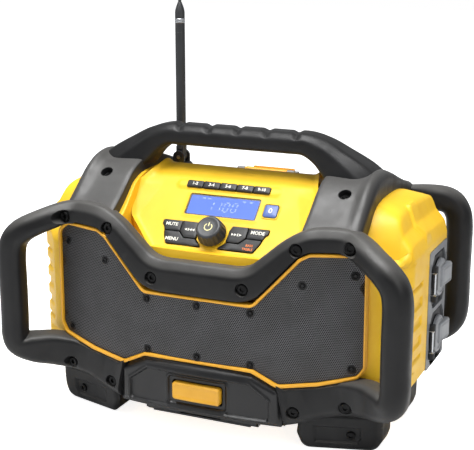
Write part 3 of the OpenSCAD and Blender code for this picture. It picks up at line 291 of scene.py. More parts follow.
digit_blue = moulded("display_digits_blue", "#6f8be0", "#6783da", 0.3, edge=0.0)
print_white = moulded("printed_marks_white", "#e9e6da", "#dedbcf", 0.5, edge=0.0)
print_orange = moulded("printed_marks_orange", "#e0762c", "#d66c24", 0.5, edge=0.0)
print_cream = moulded("printed_marks_cream", "#f0e6a8", "#e6db9c", 0.5, edge=0.0)
glass_blue = display_glass()

# the nodes that show as they are; the pieces below stand for the others
SHOWN = (
    (basket_steel, "woofer_left woofer_right"), (cone_paper, "cone_left cone_right"), (iron, "transformer"),
    (black_plastic, "storage_tray battery_tub socket_inserts"), (brass, "battery_terminals"),
    (pin_steel, "storage_door_pin battery_door_pin socket_cover_pins antenna_pin encoder_shaft"),
    (door_plastic, "battery_door antenna_knuckle"), (latch_grey, "battery_latch_bracket antenna_socket"),
    (board_green, "power_board control_board"), (black_rubber, "cable_inlet"), (mast_rubber, "antenna_mast"),
    (display_back, "lcd_module"),
)
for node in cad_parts.values():
    node.data.materials.clear()
    node.data.materials.append(key_rubber)
for finish, names in SHOWN:
    for name in names.split():
        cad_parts[name].data.materials[0] = finish


# ---------------------------------------------------------------- mesh tools
def smoothed(mesh, sharp):
    """Smooth shading, but for edges sharper than the angle in degrees."""
    mesh.polygons.foreach_set("use_smooth", np.ones(len(mesh.polygons), bool))
    mesh.set_sharp_from_angle(angle=math.radians(sharp))


def shape(name, points, faces, finish, stands_for, sharp, slot=None, body="radio", uv=None):
    """Makes a piece of the points in mm and the faces. It rides on a body and may stand for a CAD node; edges
    sharper than the angle in degrees stay hard, the others are shaded smooth."""
    mesh = bpy.data.meshes.new(name)
    mesh.from_pydata((np.asarray(points, float) * MM).tolist(), [], [list(f) for f in faces])
    mesh.update()
    smoothed(mesh, sharp)
    if uv is not None:
        layer = mesh.uv_layers.new(name="map")
        corner = np.empty(len(mesh.loops), np.int32)
        mesh.loops.foreach_get("vertex_index", corner)
        layer.data.foreach_set("uv", (np.asarray(uv, float)[corner] * MM).ravel())
    mesh.materials.append(finish)
    piece = bpy.data.objects.new(name, mesh)
    bpy.context.scene.collection.objects.link(piece)
    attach(piece, body)
    if stands_for:
        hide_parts(stands_for)
    return piece


def joined(parts):
    """Points and faces of several (points, faces) as one."""
    points, faces, start = [], [], 0
    for p, f in parts:
        points.append(p)
        faces += [[k + start for k in face] for face in f]
        start += len(p)
    return np.concatenate(points), faces


def wall(n, first, second, turned_over):
    """Quads between two rings of n points whose indices start at first and at second."""
    i = np.arange(n)
    j = (i + 1) % n
    quads = np.stack([first + i, first + j, second + j, second + i], 1).tolist()
    return [q[::-1] for q in quads] if turned_over else quads


ROW_STEP = 0.866
EDGE_GAP = 0.45


def sheet(outline, holes, step, lift):
    """Net of triangles inside a flat outline, without its holes: grid points step apart joined to the edge.

    lift maps the (n, 2) points of the net to space. The points of the outline and of the holes come first."""
    loops = [np.asarray(outline, float)] + [np.asarray(h, float) for h in holes]
    lows, highs = loops[0].min(0), loops[0].max(0)
    rows = np.arange(lows[1] + step / 2, highs[1], step * ROW_STEP)
    cols = np.arange(lows[0] + step / 2, highs[0], step)
    gx, gy = np.meshgrid(cols, rows)
    gx = gx + (np.arange(len(rows)) % 2)[:, None] * step / 2
    grid = np.stack([gx.ravel(), gy.ravel()], 1)

    def within(p):
        return np.all([inside(p, loop) == (k == 0) for k, loop in enumerate(loops)], 0)

    clear = np.all([distance(grid, loop) > step * EDGE_GAP for loop in loops], 0)
    points = np.concatenate(loops + [grid[within(grid) & clear]])
    rings, start = [], 0
    for k, loop in enumerate(loops):
        ids = list(range(start, start + len(loop)))
        rings.append(ids if (area(loop) > 0) == (k == 0) else ids[::-1])
        start += len(loop)
    verts, _, faces, *_ = delaunay_2d_cdt([tuple(p) for p in points], [], rings, 0, 1e-6)
    flat_net, tris = np.array([tuple(v) for v in verts]), np.array([list(f) for f in faces])
    return lift(flat_net), tris[within(flat_net[tris].mean(1))].tolist()


def area(p):
    """Signed area of a flat outline."""
    q = np.roll(p, -1, 0)
    return 0.5 * float((p[:, 0] * q[:, 1] - q[:, 0] * p[:, 1]).sum())


def inside(p, outline):
    """Whether each point lies in the outline: an odd number of its edges are crossed to the right."""
    a, b = outline, np.roll(outline, -1, 0)
    x, y = p[:, 0][:, None], p[:, 1][:, None]
    span = (a[:, 1] > y) != (b[:, 1] > y)
    with np.errstate(divide="ignore", invalid="ignore"):
        cross = a[:, 0] + (y - a[:, 1]) * (b[:, 0] - a[:, 0]) / (b[:, 1] - a[:, 1])
    return (span & (x < cross)).sum(1) % 2 == 1


def nearest(p, outline):
    """For each point, the nearest place of the outline."""
    a, b = outline, np.roll(outline, -1, 0)
    d = b - a
    t = np.clip(((p[:, None, :] - a) * d).sum(-1) / np.maximum((d * d).sum(-1), 1e-12), 0, 1)
    near = a + t[..., None] * d
    best = ((p[:, None, :] - near) ** 2).sum(-1).argmin(1)
    return near[np.arange(len(p)), best]


def distance(p, outline):
    """Distance of each point from the nearest place of the outline."""
    return np.sqrt(((p - nearest(p, outline)) ** 2).sum(-1))


def depth_in(p, outline):
    """Distance of each point from the outline, positive inside it and negative outside."""
    return distance(p, outline) * np.where(inside(p, outline), 1, -1)


def on_bow(q, proud):
    """The flat points (x, z) set on the bowed front, proud of it."""
    return np.column_stack([q[:, 0], front_at(q[:, 0], proud), q[:, 1]])


# ---------------------------------------------------------------- swept and lofted surfaces
def eased(p, n):
    """Catmull-Rom curve through the stations, n points in each span."""
    p = np.asarray(p, float)
    q = np.concatenate([p[:1], p, p[-1:]])
    t = (np.arange(n) / n)[None, :, None]
    a, b, c, d = (q[i:len(p) - 1 + i, None] for i in range(4))
    run = 0.5 * (2 * b + (c - a) * t + (2 * a - 5 * b + 4 * c - d) * t ** 2 + (3 * b - a - 3 * c + d) * t ** 3)
    return np.concatenate([run.reshape(-1, p.shape[1]), p[-1:]])


def unit(v):
    """The vectors at length 1."""
    return v / np.maximum(np.linalg.norm(v, axis=-1, keepdims=True), 1e-12)


def bevelled(w, d, inner, outer, back, r):
    """Section of a bar: a rectangle w by d with its corners cut off and rounded, for every station.

    inner, outer: cut of the front corners as (along the width, along the depth); back: cut of both back corners.
    Each corner vertex V becomes the quadratic curve from V + r towards one neighbour to V + r towards the other."""
    h, k = w / 2, d / 2
    r = np.broadcast_to(r, h.shape)[:, None, None]
    v = np.stack([np.stack(p, -1) for p in (
        (h - inner[0], -k), (h, -k + inner[1]), (h, k - back), (h - back, k),
        (-h + back, k), (-h, k - back), (-h, -k + outer[1]), (-h + outer[0], -k))], 1)
    before, after = np.roll(v, 1, 1), np.roll(v, -1, 1)
    la = np.linalg.norm(before - v, axis=-1, keepdims=True)
    lb = np.linalg.norm(after - v, axis=-1, keepdims=True)
    s = v + (before - v) / la * np.minimum(r, la * 0.45)
    e = v + (after - v) / lb * np.minimum(r, lb * 0.45)
    t = np.linspace(0, 1, 5)[None, None, :, None]
    curve = (1 - t) ** 2 * s[:, :, None] + 2 * t * (1 - t) * v[:, :, None] + t ** 2 * e[:, :, None]
    return curve.reshape(len(h), -1, 2)


def carried(stations, section, ref):
    """Section points (w, d) of every station set across the path: P = C + w * (T x B) + d * B, with B along ref."""
    c = stations[:, :3]
    tangent = unit(np.gradient(c, axis=0))
    ref = np.asarray(ref, float)
    b = unit(ref - (tangent @ ref)[:, None] * tangent)
    n = np.cross(tangent, b)
    return c[:, None] + section[..., :1] * n[:, None] + section[..., 1:] * b[:, None]


def net_faces(rows, cols, closed_rows=False, closed_cols=False, first=0):
    """Quads of a net of points, rows by cols, closed round if asked."""
    i = np.arange(rows if closed_rows else rows - 1)[:, None]
    j = np.arange(cols if closed_cols else cols - 1)[None]
    a = i * cols + j
    b = i * cols + (j + 1) % cols
    c = ((i + 1) % rows) * cols + (j + 1) % cols
    d = ((i + 1) % rows) * cols + j
    return (np.stack([a, b, c, d], -1).reshape(-1, 4) + first).tolist()


def closed_bar(net):
    """Points and faces of a swept net with both ends closed; the faces look outwards, as the sign of
    the enclosed volume tells: the sum of p . (q x r) over its triangles."""
    rows, cols = net.shape[:2]
    quads = np.array(net_faces(rows, cols, closed_cols=True))
    points = net.reshape(-1, 3)
    p, q, r, t = (points[quads[:, k]] - points.mean(0) for k in range(4))
    volume = (p * np.cross(q, r)).sum() + (p * np.cross(r, t)).sum()
    faces = quads.tolist() + [list(range(cols))[::-1], [(rows - 1) * cols + k for k in range(cols)]]
    if volume < 0:
        faces = [f[::-1] for f in faces]
    return points, faces


def straight_bar(a, b, w, d, front, back, r, ref=(0, 1, 0), behind=False):
    """Closed bar from a to b with a bevelled section, whose front cuts face the other way if it is behind."""
    section = bevelled(np.full(2, w), np.full(2, d), front, front, back, r)
    if behind:
        section = section[:, ::-1] * [1, -1]
    return closed_bar(carried(np.array([a, b], float), section, ref))


def cut(piece, cutters):
    """Takes the closed shapes (points in mm, faces) away from the piece and keeps smooth sides smooth."""
    points, faces = joined(cutters)
    mesh = bpy.data.meshes.new("cutter")
    mesh.from_pydata((points * MM).tolist(), [], faces)
    tool = bpy.data.objects.new("cutter", mesh)
    bpy.context.scene.collection.objects.link(tool)
    mod = piece.modifiers.new("recesses", "BOOLEAN")
    mod.operation = "DIFFERENCE"
    mod.object = tool
    mod.solver = "EXACT"
    bpy.context.view_layer.update()
    made = bpy.data.meshes.new_from_object(piece.evaluated_get(bpy.context.evaluated_depsgraph_get()))
    piece.modifiers.remove(mod)
    old = piece.data
    piece.data = made
    made.name = old.name
    bpy.data.meshes.remove(old)
    bpy.data.objects.remove(tool)
    bpy.data.meshes.remove(mesh)
    smoothed(made, 32)


# where the first point of a plain cylinder lies: square to this direction
DRUM_ACROSS = (0.3, 0.8, 0.52)


def turned(at, axis, radii, heights, count=36, across=(0.31, 0.83, 0.47)):
    """Solid of revolution: ring i has the radius radii[i] at the height heights[i] along the axis.

    A radius may be an array over the angle, so a ring can be six-sided. The first point of a ring lies square to
    the axis and to the direction across."""
    z = unit(np.asarray(axis, float))
    x = unit(np.cross(z, across))
    y = np.cross(z, x)
    t = np.arange(count) * 2 * math.pi / count
    way = np.cos(t)[:, None] * x + np.sin(t)[:, None] * y
    rings = [np.asarray(at, float) + np.broadcast_to(r, t.shape)[:, None] * way + h * z for r, h in zip(radii, heights)]
    return closed_bar(np.stack(rings))


def push_out(p, outline):
    """Points whose (x, z) lie in the outline are moved to its nearest edge."""
    flat = p[:, [0, 2]]
    hit = inside(flat, outline)
    p = p.copy()
    p[np.flatnonzero(hit)[:, None], [0, 2]] = nearest(flat[hit], outline)
    return p


def rounded(p, n=6):
    """Closed outline of vertices (x, y, r), each rounded with an arc of its own radius r."""
    p = np.asarray(p, float)
    a, c, b = np.roll(p, 1, 0)[:, :2], np.roll(p, -1, 0)[:, :2], p[:, :2]
    u, v = unit(a - b), unit(c - b)
    half = np.arccos(np.clip((u * v).sum(1), -1, 1)) / 2
    r = np.maximum(p[:, 2], 1e-3)
    o = b + unit(u + v) * (r / np.sin(half))[:, None]
    s, e = b + u * (r / np.tan(half))[:, None] - o, b + v * (r / np.tan(half))[:, None] - o
    start = np.arctan2(s[:, 1], s[:, 0])
    turn = (np.arctan2(e[:, 1], e[:, 0]) - start + 3 * math.pi) % (2 * math.pi) - math.pi
    ang = start[:, None] + turn[:, None] * np.linspace(0, 1, n)
    arcs = o[:, None] + r[:, None, None] * np.stack([np.cos(ang), np.sin(ang)], -1)
    return arcs.reshape(-1, 2)


def grown(p, d):
    """Anticlockwise outline of vertices (x, y, r) moved outwards by d, with its arcs kept concentric."""
    p = np.asarray(p, float)
    a, c = np.roll(p, 1, 0), np.roll(p, -1, 0)
    t, s = unit((p - a)[:, :2]), unit((c - p)[:, :2])
    m, n = np.stack([t[:, 1], -t[:, 0]], 1), np.stack([s[:, 1], -s[:, 0]], 1)
    q = (m + n) / (1 + (m * n).sum(1))[:, None] * d
    turn = t[:, 0] * s[:, 1] - t[:, 1] * s[:, 0]
    r = np.where(p[:, 2] < 0.01, 0, np.maximum(p[:, 2] + np.where(turn > 0, d, -d), 0.5))
    return np.column_stack([p[:, :2] + q, r])


def mirrored(p):
    """Outline of one half, followed by the other half in reverse."""
    p = np.asarray(p, float)
    q = p[::-1].copy()
    q[:, 0] *= -1
    return np.concatenate([p, q])


def spread(outline, step):
    """The closed outline with points about step apart."""
    p = np.concatenate([outline, outline[:1]])
    run = np.concatenate([[0], np.cumsum(np.linalg.norm(np.diff(p, axis=0), axis=1))])
    at = np.linspace(0, run[-1], max(int(run[-1] / step), 3), endpoint=False)
    return np.stack([np.interp(at, run, p[:, k]) for k in (0, 1)], 1)


def smooth_step(t):
    """Smooth step s from 0 to 1: 3 t^2 - 2 t^3."""
    t = np.clip(t, 0, 1)
    return t * t * (3 - 2 * t)


def least(a, b, soft):
    """Smooth least of two values: (a + b - sqrt((a - b)^2 + soft^2)) / 2, so an edge between them is rounded."""
    return (a + b - np.sqrt((a - b) ** 2 + soft ** 2)) / 2


GRILLE = mirrored([[61, 84.5, 10], [88, 71, 8], [128, 77.5, 14], [166, 87.5, 8],
                   [172, 97, 6], [171.5, 201, 10], [160, 209, 9], [119, 207.5, 10], [109.5, 202, 8], [62, 150, 12]])
DOOR = mirrored([[92.2, 25, 1.5], [92.2, 65.2, 1], [61, 80, 9]])


# ---------------------------------------------------------------- yellow housing
SIDE = [[148, 24, 6], [170, 34, 12], [200, 56, 10], [POD_X, 70, 8], [POD_X, 203, 10], [207, 216, 9],
        [197, 227, 9], [190, 246, 13], [168, 258, 10], [150, 264, 3]]
BODY_FRONT = mirrored(SIDE + [[102, 263, 1], [98, 195, 1]])
BODY_REAR = mirrored(SIDE + [[105, 263, 1], [104, 243, 0.5], [100, 253, 4], [88, 268, 3]])
SHOULDER = np.array([[-120, 205], [-78, 222], [-66, 231], [-44, 250.5], [-35, 255], [-26, 258], [-12, 260.3],
                     [0, 261], [14, 261], [26, 260], [41, 256.6], [56, 252], [73, 245.4], [90, 238], [120, 226.]])
SEAM_Y = -5.0
CHAMFER_X = 186.0
CHAMFER_END = -54.0
POCKETS = (91.5, 174.5)
POCKET_DEEP = 3.0
DOME_LOW, DOME_RISE, DOME_RUN = 204, 62, 21
FIELD_DEEP = 16


def body_point(x, z, y):
    """Point of the outline (x, z) at depth y: its height is held under the shoulder line and its width inside
    the chamfered plan, each by the smooth least. Beyond x = 150 to 162 mm a dome holds the height as well:
    204 + 62 * (1 - e^(-b / 21)) at b mm behind the seat. Pockets 3 mm deep between four flush ribs are sunk
    into the side, and a lug with slanted flanks stands on the shoulder."""
    line = np.interp(y, SHOULDER[:, 0], SHOULDER[:, 1])
    line = np.where((np.abs(x) < 104.6) & (y > SEAM_Y), np.minimum(266 - (y - 6) * 21 / 86, 263.2), line)
    low = np.where(z > 150, least(z, line, np.where(np.abs(x) > 108, 11.0, 4.0)), z)
    behind = np.maximum(y - front_at(np.minimum(np.abs(x), 196), SEAT_BACK), 0)
    dome = least(low, DOME_LOW + DOME_RISE * (1 - np.exp(-behind / DOME_RUN)), 9.0)
    low = low + (dome - low) * smooth_step((np.abs(x) - 150) / 12) * (z > 150)
    chamfer_y = float(front_at(CHAMFER_X, -2))
    wide = CHAMFER_X + (y - chamfer_y) * (POD_X - CHAMFER_X) / (CHAMFER_END - chamfer_y)
    wide = least(least(wide, POD_X + 0.6, 2.5), POD_X - (y - 72) * 1.0 + 0.6, 2.0)
    rib = smooth_step((7.0 - np.abs((low - 102 + 10.25) % 20.5 - 10.25)) / 2.6)
    pocket = smooth_step((low - POCKETS[0]) / 2.5) * smooth_step((POCKETS[1] - low) / 2.5) * (1 - rib)
    pocket = pocket * smooth_step((-20 - y) / 2.0) * smooth_step((y - chamfer_y - 5) / 3)
    narrow = np.sign(x) * least(np.abs(x), wide - POCKET_DEEP * pocket, 1.2)
    px, py = (np.abs(narrow) - 198) / 11, (y - 3) / 15
    block = smooth_step((1.15 - np.maximum(np.abs(py) + 0.45 * np.abs(px), np.abs(px))) / 0.3)
    block = block * smooth_step((z - 206) / 5)
    return np.stack([narrow + np.sign(x) * 1.4 * block, y, low + 3.2 * block], -1)


def field_beside(x, z):
    """How far the yellow field beside the grille stands out of the seat of the frames: 0 to 16 mm."""
    rise = smooth_step((z - 82) / 3) * smooth_step((216 - z) / 34)
    return FIELD_DEEP * rise * smooth_step((np.abs(x) - 150) / 4)


def housing(name, rows, node, rear):
    """Half of the shell: the body outline carried from the front seat to the seam, or from there to the back."""
    ring = spread(rounded(BODY_REAR if rear else BODY_FRONT, 8), 1.7)
    x, z = ring[:, 0], ring[:, 1]
    seam = np.full_like(x, SEAM_Y)
    if rear:
        start, stop = seam, rear_at(x)
        bay = [[-55.3, 81.7], [55.3, 81.7], [55.3, 212.3], [-55.3, 212.3]]
    else:
        field = field_beside(x, z)
        slim = np.minimum(np.abs(x), CHAMFER_X + 0.12 * np.abs(z - 140)) * np.sign(x)
        start, stop = front_at(np.where(field > 8, slim, x), SEAT_BACK + field), seam
        bay = [[-82, 30], [82, 30], [82, 66], [-82, 66]]
    v = np.linspace(0, 1, rows)[:, None]
    y = (1 - v) * start + v * stop
    net = body_point(np.broadcast_to(x, y.shape), np.broadcast_to(z, y.shape), y)
    faces = net_faces(*net.shape[:2], closed_cols=True)
    points = net.reshape(-1, 3)
    edge = net[-1 if rear else 0]
    if rear:
        centre = points[np.array(faces)].mean(1)
        wells = (centre[:, 0] > 200) & (np.abs(centre[:, 1] - 35.5) < 32.5) & (np.abs(centre[:, 2] - 132) < 62)
        faces = [f for f, gone in zip(faces, wells) if not gone]

    def lift(q):
        if rear:
            return np.column_stack([q[:, 0], rear_at(q[:, 0]), q[:, 1]])
        return on_bow(q, SEAT_BACK + field_beside(q[:, 0], q[:, 1]))

    cap, cap_faces = sheet(edge[:, [0, 2]], [spread(np.array(bay, float), 4)], 4.0, lift)
    cap[:len(edge)] = edge
    if rear:
        cap_faces = [f[::-1] for f in cap_faces]
    shape(name, *joined([(points, faces), (cap, cap_faces)]), yellow, node, 40, "yellow_shell")


def grille_lip():
    """Rounded yellow lip round the grille: a half-round section carried along its outline."""
    section = [(0, -8), (0, 2.8), (0.5, 3.3), (1.5, 3.5), (2.5, 3.3), (3.0, 2.8), (3.0, -8)]
    net = np.stack([on_bow(rounded(grown(GRILLE, out), 7), high) for out, high in section])
    shape("grille_lip", net.reshape(-1, 3), net_faces(*net.shape[:2], closed_rows=True, closed_cols=True), yellow_lip,
          "speaker_baffle", 50, "yellow_shell")


housing("front_shell", 56, "front_housing", False)
housing("rear_shell", 60, "rear_housing", True)
grille_lip()


# ---------------------------------------------------------------- rubber bumper frames
# a station is (x, y, z, width, thickness); FLIP mirrors it in x
FLIP = [-1, 1, 1, 1, 1]
FRONT_THICK = 21.7
BACK_THICK = 21.5
REAR_PROUD = 22
LOOP_START = 150
UPPER_LOOP_FACE = 12.5
LOWER_LOOP_FACE = 8.5


def on_shell(x, z, proud, way=-1):
    """Point on the bowed front, or on the bowed back if way is 1, and the unit vector that stands out of it."""
    r, centre = (REAR_R + proud, REAR_C) if way > 0 else (BOW_R + proud, BOW_C)
    a = math.asin(x / r)
    return np.array([x, centre + way * r * math.cos(a), z]), np.array([math.sin(a), way * math.cos(a), 0])


def recess(place, r=7.0, deep=5.0):
    """Round cutter sunk by deep at a place on a surface."""
    at, out = place
    return turned(at, out, [r, r], [-deep, 40], 40, DRUM_ACROSS)


def bow(x, z, w):
    """Station of a frame on the front's bow."""
    return [x, float(front_at(x, -6.85)), z, w, FRONT_THICK]


def back(x, z, w):
    """Station of a frame on the back's bow."""
    return [x, float(rear_at(x, 11.5)), z, w, BACK_THICK]


def both(half, middle):
    """Stations of one side, the one in the middle, and those of the other side in reverse."""
    half = np.array(half, float)
    return np.concatenate([half, [middle], half[::-1] * FLIP])


FRONT_LOOP = [bow(86.2, 45.5, 42), bow(108, 51.5, 42), bow(130, 58.5, 41), [155, -84, 62.5, 38, 24],
              [180, -93.5, 67.5, 38, 26], [197, -105.5, 70.5, 35, 27.5], [209.5, -114.5, 75.5, 29, 29],
              [LOOP_X, -LOOP_Y, 86, 28, 29], [LOOP_X, -LOOP_Y, 110, 28, 29], [LOOP_X, -LOOP_Y, 145, 28, 29],
              [LOOP_X, -LOOP_Y, 176, 28, 29], [210.5, -117, 192.5, 27.5, 29], [201, -114.5, 204, 26.5, 28.5],
              [187, -106, 212, 25.5, 27.5], [170, -94, 219, 25, 25], [153, -84.5, 222, 25, 22.2],
              bow(133, 222, 25.5), bow(116, 219, 26.5), bow(98.5, 208.5, 28), bow(81, 192.5, 30),
              bow(63, 177, 32), bow(44, 170.5, 34), bow(22, 170.5, 34)]
REAR_LOOP = [back(50, 49, 32), back(100, 50, 32), back(126, 59, 33), back(150, 69, 35), [178, 105.5, 75, 32, 26],
             [198, 113.5, 80, 30, 28], [210, 116.5, 89, 28, 29], [LOOP_X, LOOP_Y, 106, 28, 29],
             [LOOP_X, LOOP_Y, 150, 28, 29], [LOOP_X, LOOP_Y, 198, 28, 29], [210, LOOP_Y, 216, 28, 29],
             [200, 115.5, 226, 28, 29], [180, 108.5, 229, 28, 27], back(150, 229, 28), back(126, 227.5, 28),
             back(106, 226, 28)]
FRONT_SCREWS = [(159.5, 219.5), (105.5, 213), (51, 168), (157.5, 55), (104.5, 43.5)]
REAR_SCREWS = [(150, 229), (111, 176), (111, 112), (150, 70)]


def frame_face(x, z):
    """How far the face of the front frame stands out of the bow at one of its screws."""
    if x < LOOP_START:
        return FRAME_FACE
    return UPPER_LOOP_FACE if z > LOOP_START else LOWER_LOOP_FACE


def frame_section(path):
    """Section of a frame at every station: bevelled flat bar on the bow, rounded tube in the corner loops. The
    cuts go from one to the other with the smooth step of (thickness - 22.2) / 7."""
    w, d = path[:, 3], path[:, 4]
    g = smooth_step((d - 22.2) / 7.0)
    inner = 2.5 + 3.5 * g, 2.5 + 3.5 * g
    outer = 9.0 - 1.5 * g, 7.5 + 0.5 * g
    return bevelled(w, d, inner, outer, 2 + 5 * g, 3.0 + 2.0 * g)


def bumper_frame(name, stations, node, front, cutters):
    """A frame: the section carried along its stations, kept off the housing, out of the grille and the door, and
    inside the box that its node has in x and y."""
    path = eased(stations, 5)
    section = frame_section(path)
    if not front:
        section = section[:, ::-1] * [1, -1]
    points, faces = closed_bar(carried(path, section, [0, 1, 0]))
    if front:
        shallow = points[:, 1] < front_at(points[:, 0], FRAME_FACE - 3.0)
        for edge, clear in ((GRILLE, 3.3), (DOOR, 1.3)):
            moved = push_out(points, rounded(grown(edge, clear)))
            points = moved + (points - moved) * smooth_step((np.abs(points[:, 0]) - 156) / 14)[:, None]
            near = shallow & (np.abs(points[:, 0]) < LOOP_START)
            points[near] = push_out(points[near], rounded(grown(edge, clear + 1.8)))
        points[:, 1] = np.minimum(points[:, 1], front_at(points[:, 0], SEAT_BACK) - 0.1)
    else:
        points[:, 1] = np.maximum(points[:, 1], rear_at(points[:, 0]) + 0.1)
    low, high = np.array(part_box(node)) * 1000
    points[:, :2] = np.clip(points[:, :2], low[:2], high[:2])
    cut(shape(name, points, faces, black_rubber, node, 32, "frame_rubber"), cutters)


def rear_leg(side, name):
    """Upright strut of the rear frame beside the battery door."""
    z = np.linspace(44, 238, 8)
    one = np.ones_like(z)
    leg = np.column_stack([side * 111 * one, rear_at(111, 11.25) * one, z])
    cuts = bevelled(23 * one, BACK_THICK * one, (5, 4), (5, 4), one, 3.0)
    piece = shape(name, *closed_bar(carried(leg, cuts[:, ::-1] * [1, -1], [0, 1, 0])), black_rubber, None, 32)
    cut(piece, [recess(on_shell(side * x, z, REAR_PROUD, 1)) for x, z in REAR_SCREWS[1:3]])


sides = (-1, 1)
half = np.array(REAR_LOOP)
bumper_frame("front_frame", both(FRONT_LOOP, bow(0, 170.5, 34)), "front_bumper_frame", True,
             [recess(on_shell(s * x, z, frame_face(x, z))) for x, z in FRONT_SCREWS for s in sides])
bumper_frame("rear_frame", np.concatenate([half[::-1] * FLIP, [back(0, 49, 32)], half]), "rear_bumper_frame", False,
             [recess(on_shell(s * x, z, REAR_PROUD, 1)) for x, z in (REAR_SCREWS[0], REAR_SCREWS[-1]) for s in sides])
rear_leg(-1, "rear_leg_left")
rear_leg(1, "rear_leg_right")


# ---------------------------------------------------------------- carry handle
HANDLE = [[140.5, 0, 256, 48, 50], [131, 0, 266, 43, 48], [114, 0, 280, 35, 42], [98, 0, 292, 28, 37],
          [80, 0, 299.5, 23, 35], [60, 0, 300, 22, 34], [30, 0, 300, 22, 34]]
SADDLE = [(-87, 230, -1), (-76, 237.5, 1), (-62, 248, 2.5), (-44, 262, 3.5), (-25, 271, 4), (0, 274, 3.5),
          (25, 271, 0), (54, 262, -2), (80, 252.5, -1), (99, 246.5, 0)]
NOTCH_STEP = 33.5
NOTCH_DEEP = 2.6


def grip():
    """Bar of the handle. Its top carries five finger notches: the top sinks by 2.6 mm where the distance
    from a notch, in steps of 33.5 mm, is under 6 mm, with soft flanks."""
    path = eased(both(HANDLE, [0, 0, 300, 22, 34]), 16)
    w, d = path[:, 3], path[:, 4]
    one = np.ones_like(w)
    section = bevelled(w, d, (3.5 * one, 3.5 * one), (w * 0.3, d * 0.24), 5 * one, 4.0)
    net = carried(path, section, [0, 1, 0])
    x, y, z = net[..., 0], net[..., 1], net[..., 2]
    off = np.abs((x + 0.22 * y + NOTCH_STEP / 2) % NOTCH_STEP - NOTCH_STEP / 2)
    notch = np.clip(1 - off / 6.0, 0, 1) ** 1.3 * (np.abs(x) < 84) * smooth_step((z - 304) / 4)
    net[..., 2] = z - NOTCH_DEEP * notch
    return closed_bar(net)


def saddle(side):
    """Saddle on a shoulder: a flat pad that swells into a round ridge along its outer edge.

    Its section runs over the width: z = line + rise * e^(-((x - 157) / 7)^2), turned down at both edges."""
    y, line, rise = eased(SADDLE, 6).T[:, :, None]
    x, sink = np.array([
        (105.2, 22), (105.2, 3.2), (105.6, 1.6), (106.8, 0.6), (109.5, 0.1), (113, 0), (120, 0), (128, 0), (136, 0),
        (142, 0), (146, 0), (149, 0), (151.5, 0), (154, 0), (156.5, 0), (159, 0.3), (161, 0.9), (162.8, 2.0),
        (164.1, 3.6), (164.8, 5.8), (165, 9.0), (165, 22), (150, 22), (130, 22)]).T
    swell = np.exp(-((x - 157) / 7.0) ** 2)
    z = line - sink + (rise + 1.0) * swell * (sink < 12)
    return closed_bar(np.stack([np.broadcast_to(side * x, z.shape), np.broadcast_to(y, z.shape), z], -1))


def saddle_screw(side, end):
    """Place and direction of a saddle's screw, square to its slope."""
    a = math.radians(38 if end < 0 else -24)
    return np.array([side * 135.5, end * 47.0, 261.0]), np.array([0, -math.sin(a), math.cos(a)])


shape("handle_grip", *grip(), grip_rubber, "carry_handle", 32, "frame_rubber")
for side, name in zip(sides, ("left", "right")):
    cut(shape("saddle_" + name, *saddle(side), saddle_rubber_painted_lit, None, 40),
        [recess(saddle_screw(side, end), 6.6, 9.0) for end in sides])


# ---------------------------------------------------------------- perforated grille
def grille():
    """Sheet of the grille: a net inside its outline bent to the bow, thickened to both sides of 1.6 mm."""
    edge = spread(rounded(grown(GRILLE, -0.4), 6), 2.5)
    points, faces = sheet(edge, [], 7.0, lambda q: on_bow(q, -0.3))
    n = len(points)
    faces = faces + [[k + n for k in f][::-1] for f in faces] + wall(len(edge), 0, n, True)
    uv = np.column_stack([BOW_R * np.arcsin(points[:, 0] / BOW_R), points[:, 2]])
    shape("grille_sheet", np.concatenate([points, points + [0, 1.6, 0]]), faces, grille_steel, "speaker_grille", 40,
          "grille_steel", uv=np.concatenate([uv, uv]))


grille()


# ---------------------------------------------------------------- control pod
POD = np.array([[54, 184], [98, 217], [104, 232], [104, 243], [100, 253], [88, 268]], float)
SLOPE = rounded(np.array([[-96, 172, 0.1], [-89.8, 180, 3], [-84.5, 190.5, 4], [-19.1, 255.9, 16], [6, 266, 10],
                          [18, 263.07, 0.1]]), 8)[7:-7]
SLOPE_RUN = np.concatenate([[0], np.cumsum(np.linalg.norm(np.diff(SLOPE, axis=0), axis=1))])
SLOPE_TOP = SLOPE_RUN[-1]


def run_of(v):
    """Length along the pod's profile at the place v up the control panel."""
    y = PANEL_Y + v * math.cos(TILT)
    return float(np.interp(y, SLOPE[:, 0], SLOPE_RUN))


def pod_half(run):
    """Half width of the pod at a length along its profile."""
    z = np.interp(run, SLOPE_RUN, SLOPE[:, 1])
    wide = np.interp(z, POD[:, 1], POD[:, 0])
    crest = np.interp(run, [SLOPE_TOP - 34, SLOPE_TOP - 22, SLOPE_TOP], [0, 88.8, 90.5])
    return np.where(z > 262, np.maximum(wide, crest), wide)


def pod_surface(q, drop):
    """Lifts (x, run) to space: along the profile, sunk by the drop square to it."""
    run = np.clip(q[:, 1], 0, SLOPE_TOP)
    y, z = np.interp(run, SLOPE_RUN, SLOPE[:, 0]), np.interp(run, SLOPE_RUN, SLOPE[:, 1])
    dy = np.interp(run + 1.5, SLOPE_RUN, SLOPE[:, 0]) - np.interp(run - 1.5, SLOPE_RUN, SLOPE[:, 0])
    dz = np.interp(run + 1.5, SLOPE_RUN, SLOPE[:, 1]) - np.interp(run - 1.5, SLOPE_RUN, SLOPE[:, 1])
    n = np.stack([dz, -dy], 1) / np.hypot(dy, dz)[:, None]
    return np.column_stack([q[:, 0], y + n[:, 0] * drop, z + n[:, 1] * drop])


def box(cx, cy, w, h, r=0.01, n=5):
    """Rectangle w by h round a middle, with corners of radius r."""
    w, h = w / 2, h / 2
    return rounded([[cx - w, cy - h, r], [cx + w, cy - h, r], [cx + w, cy + h, r], [cx - w, cy + h, r]], n)


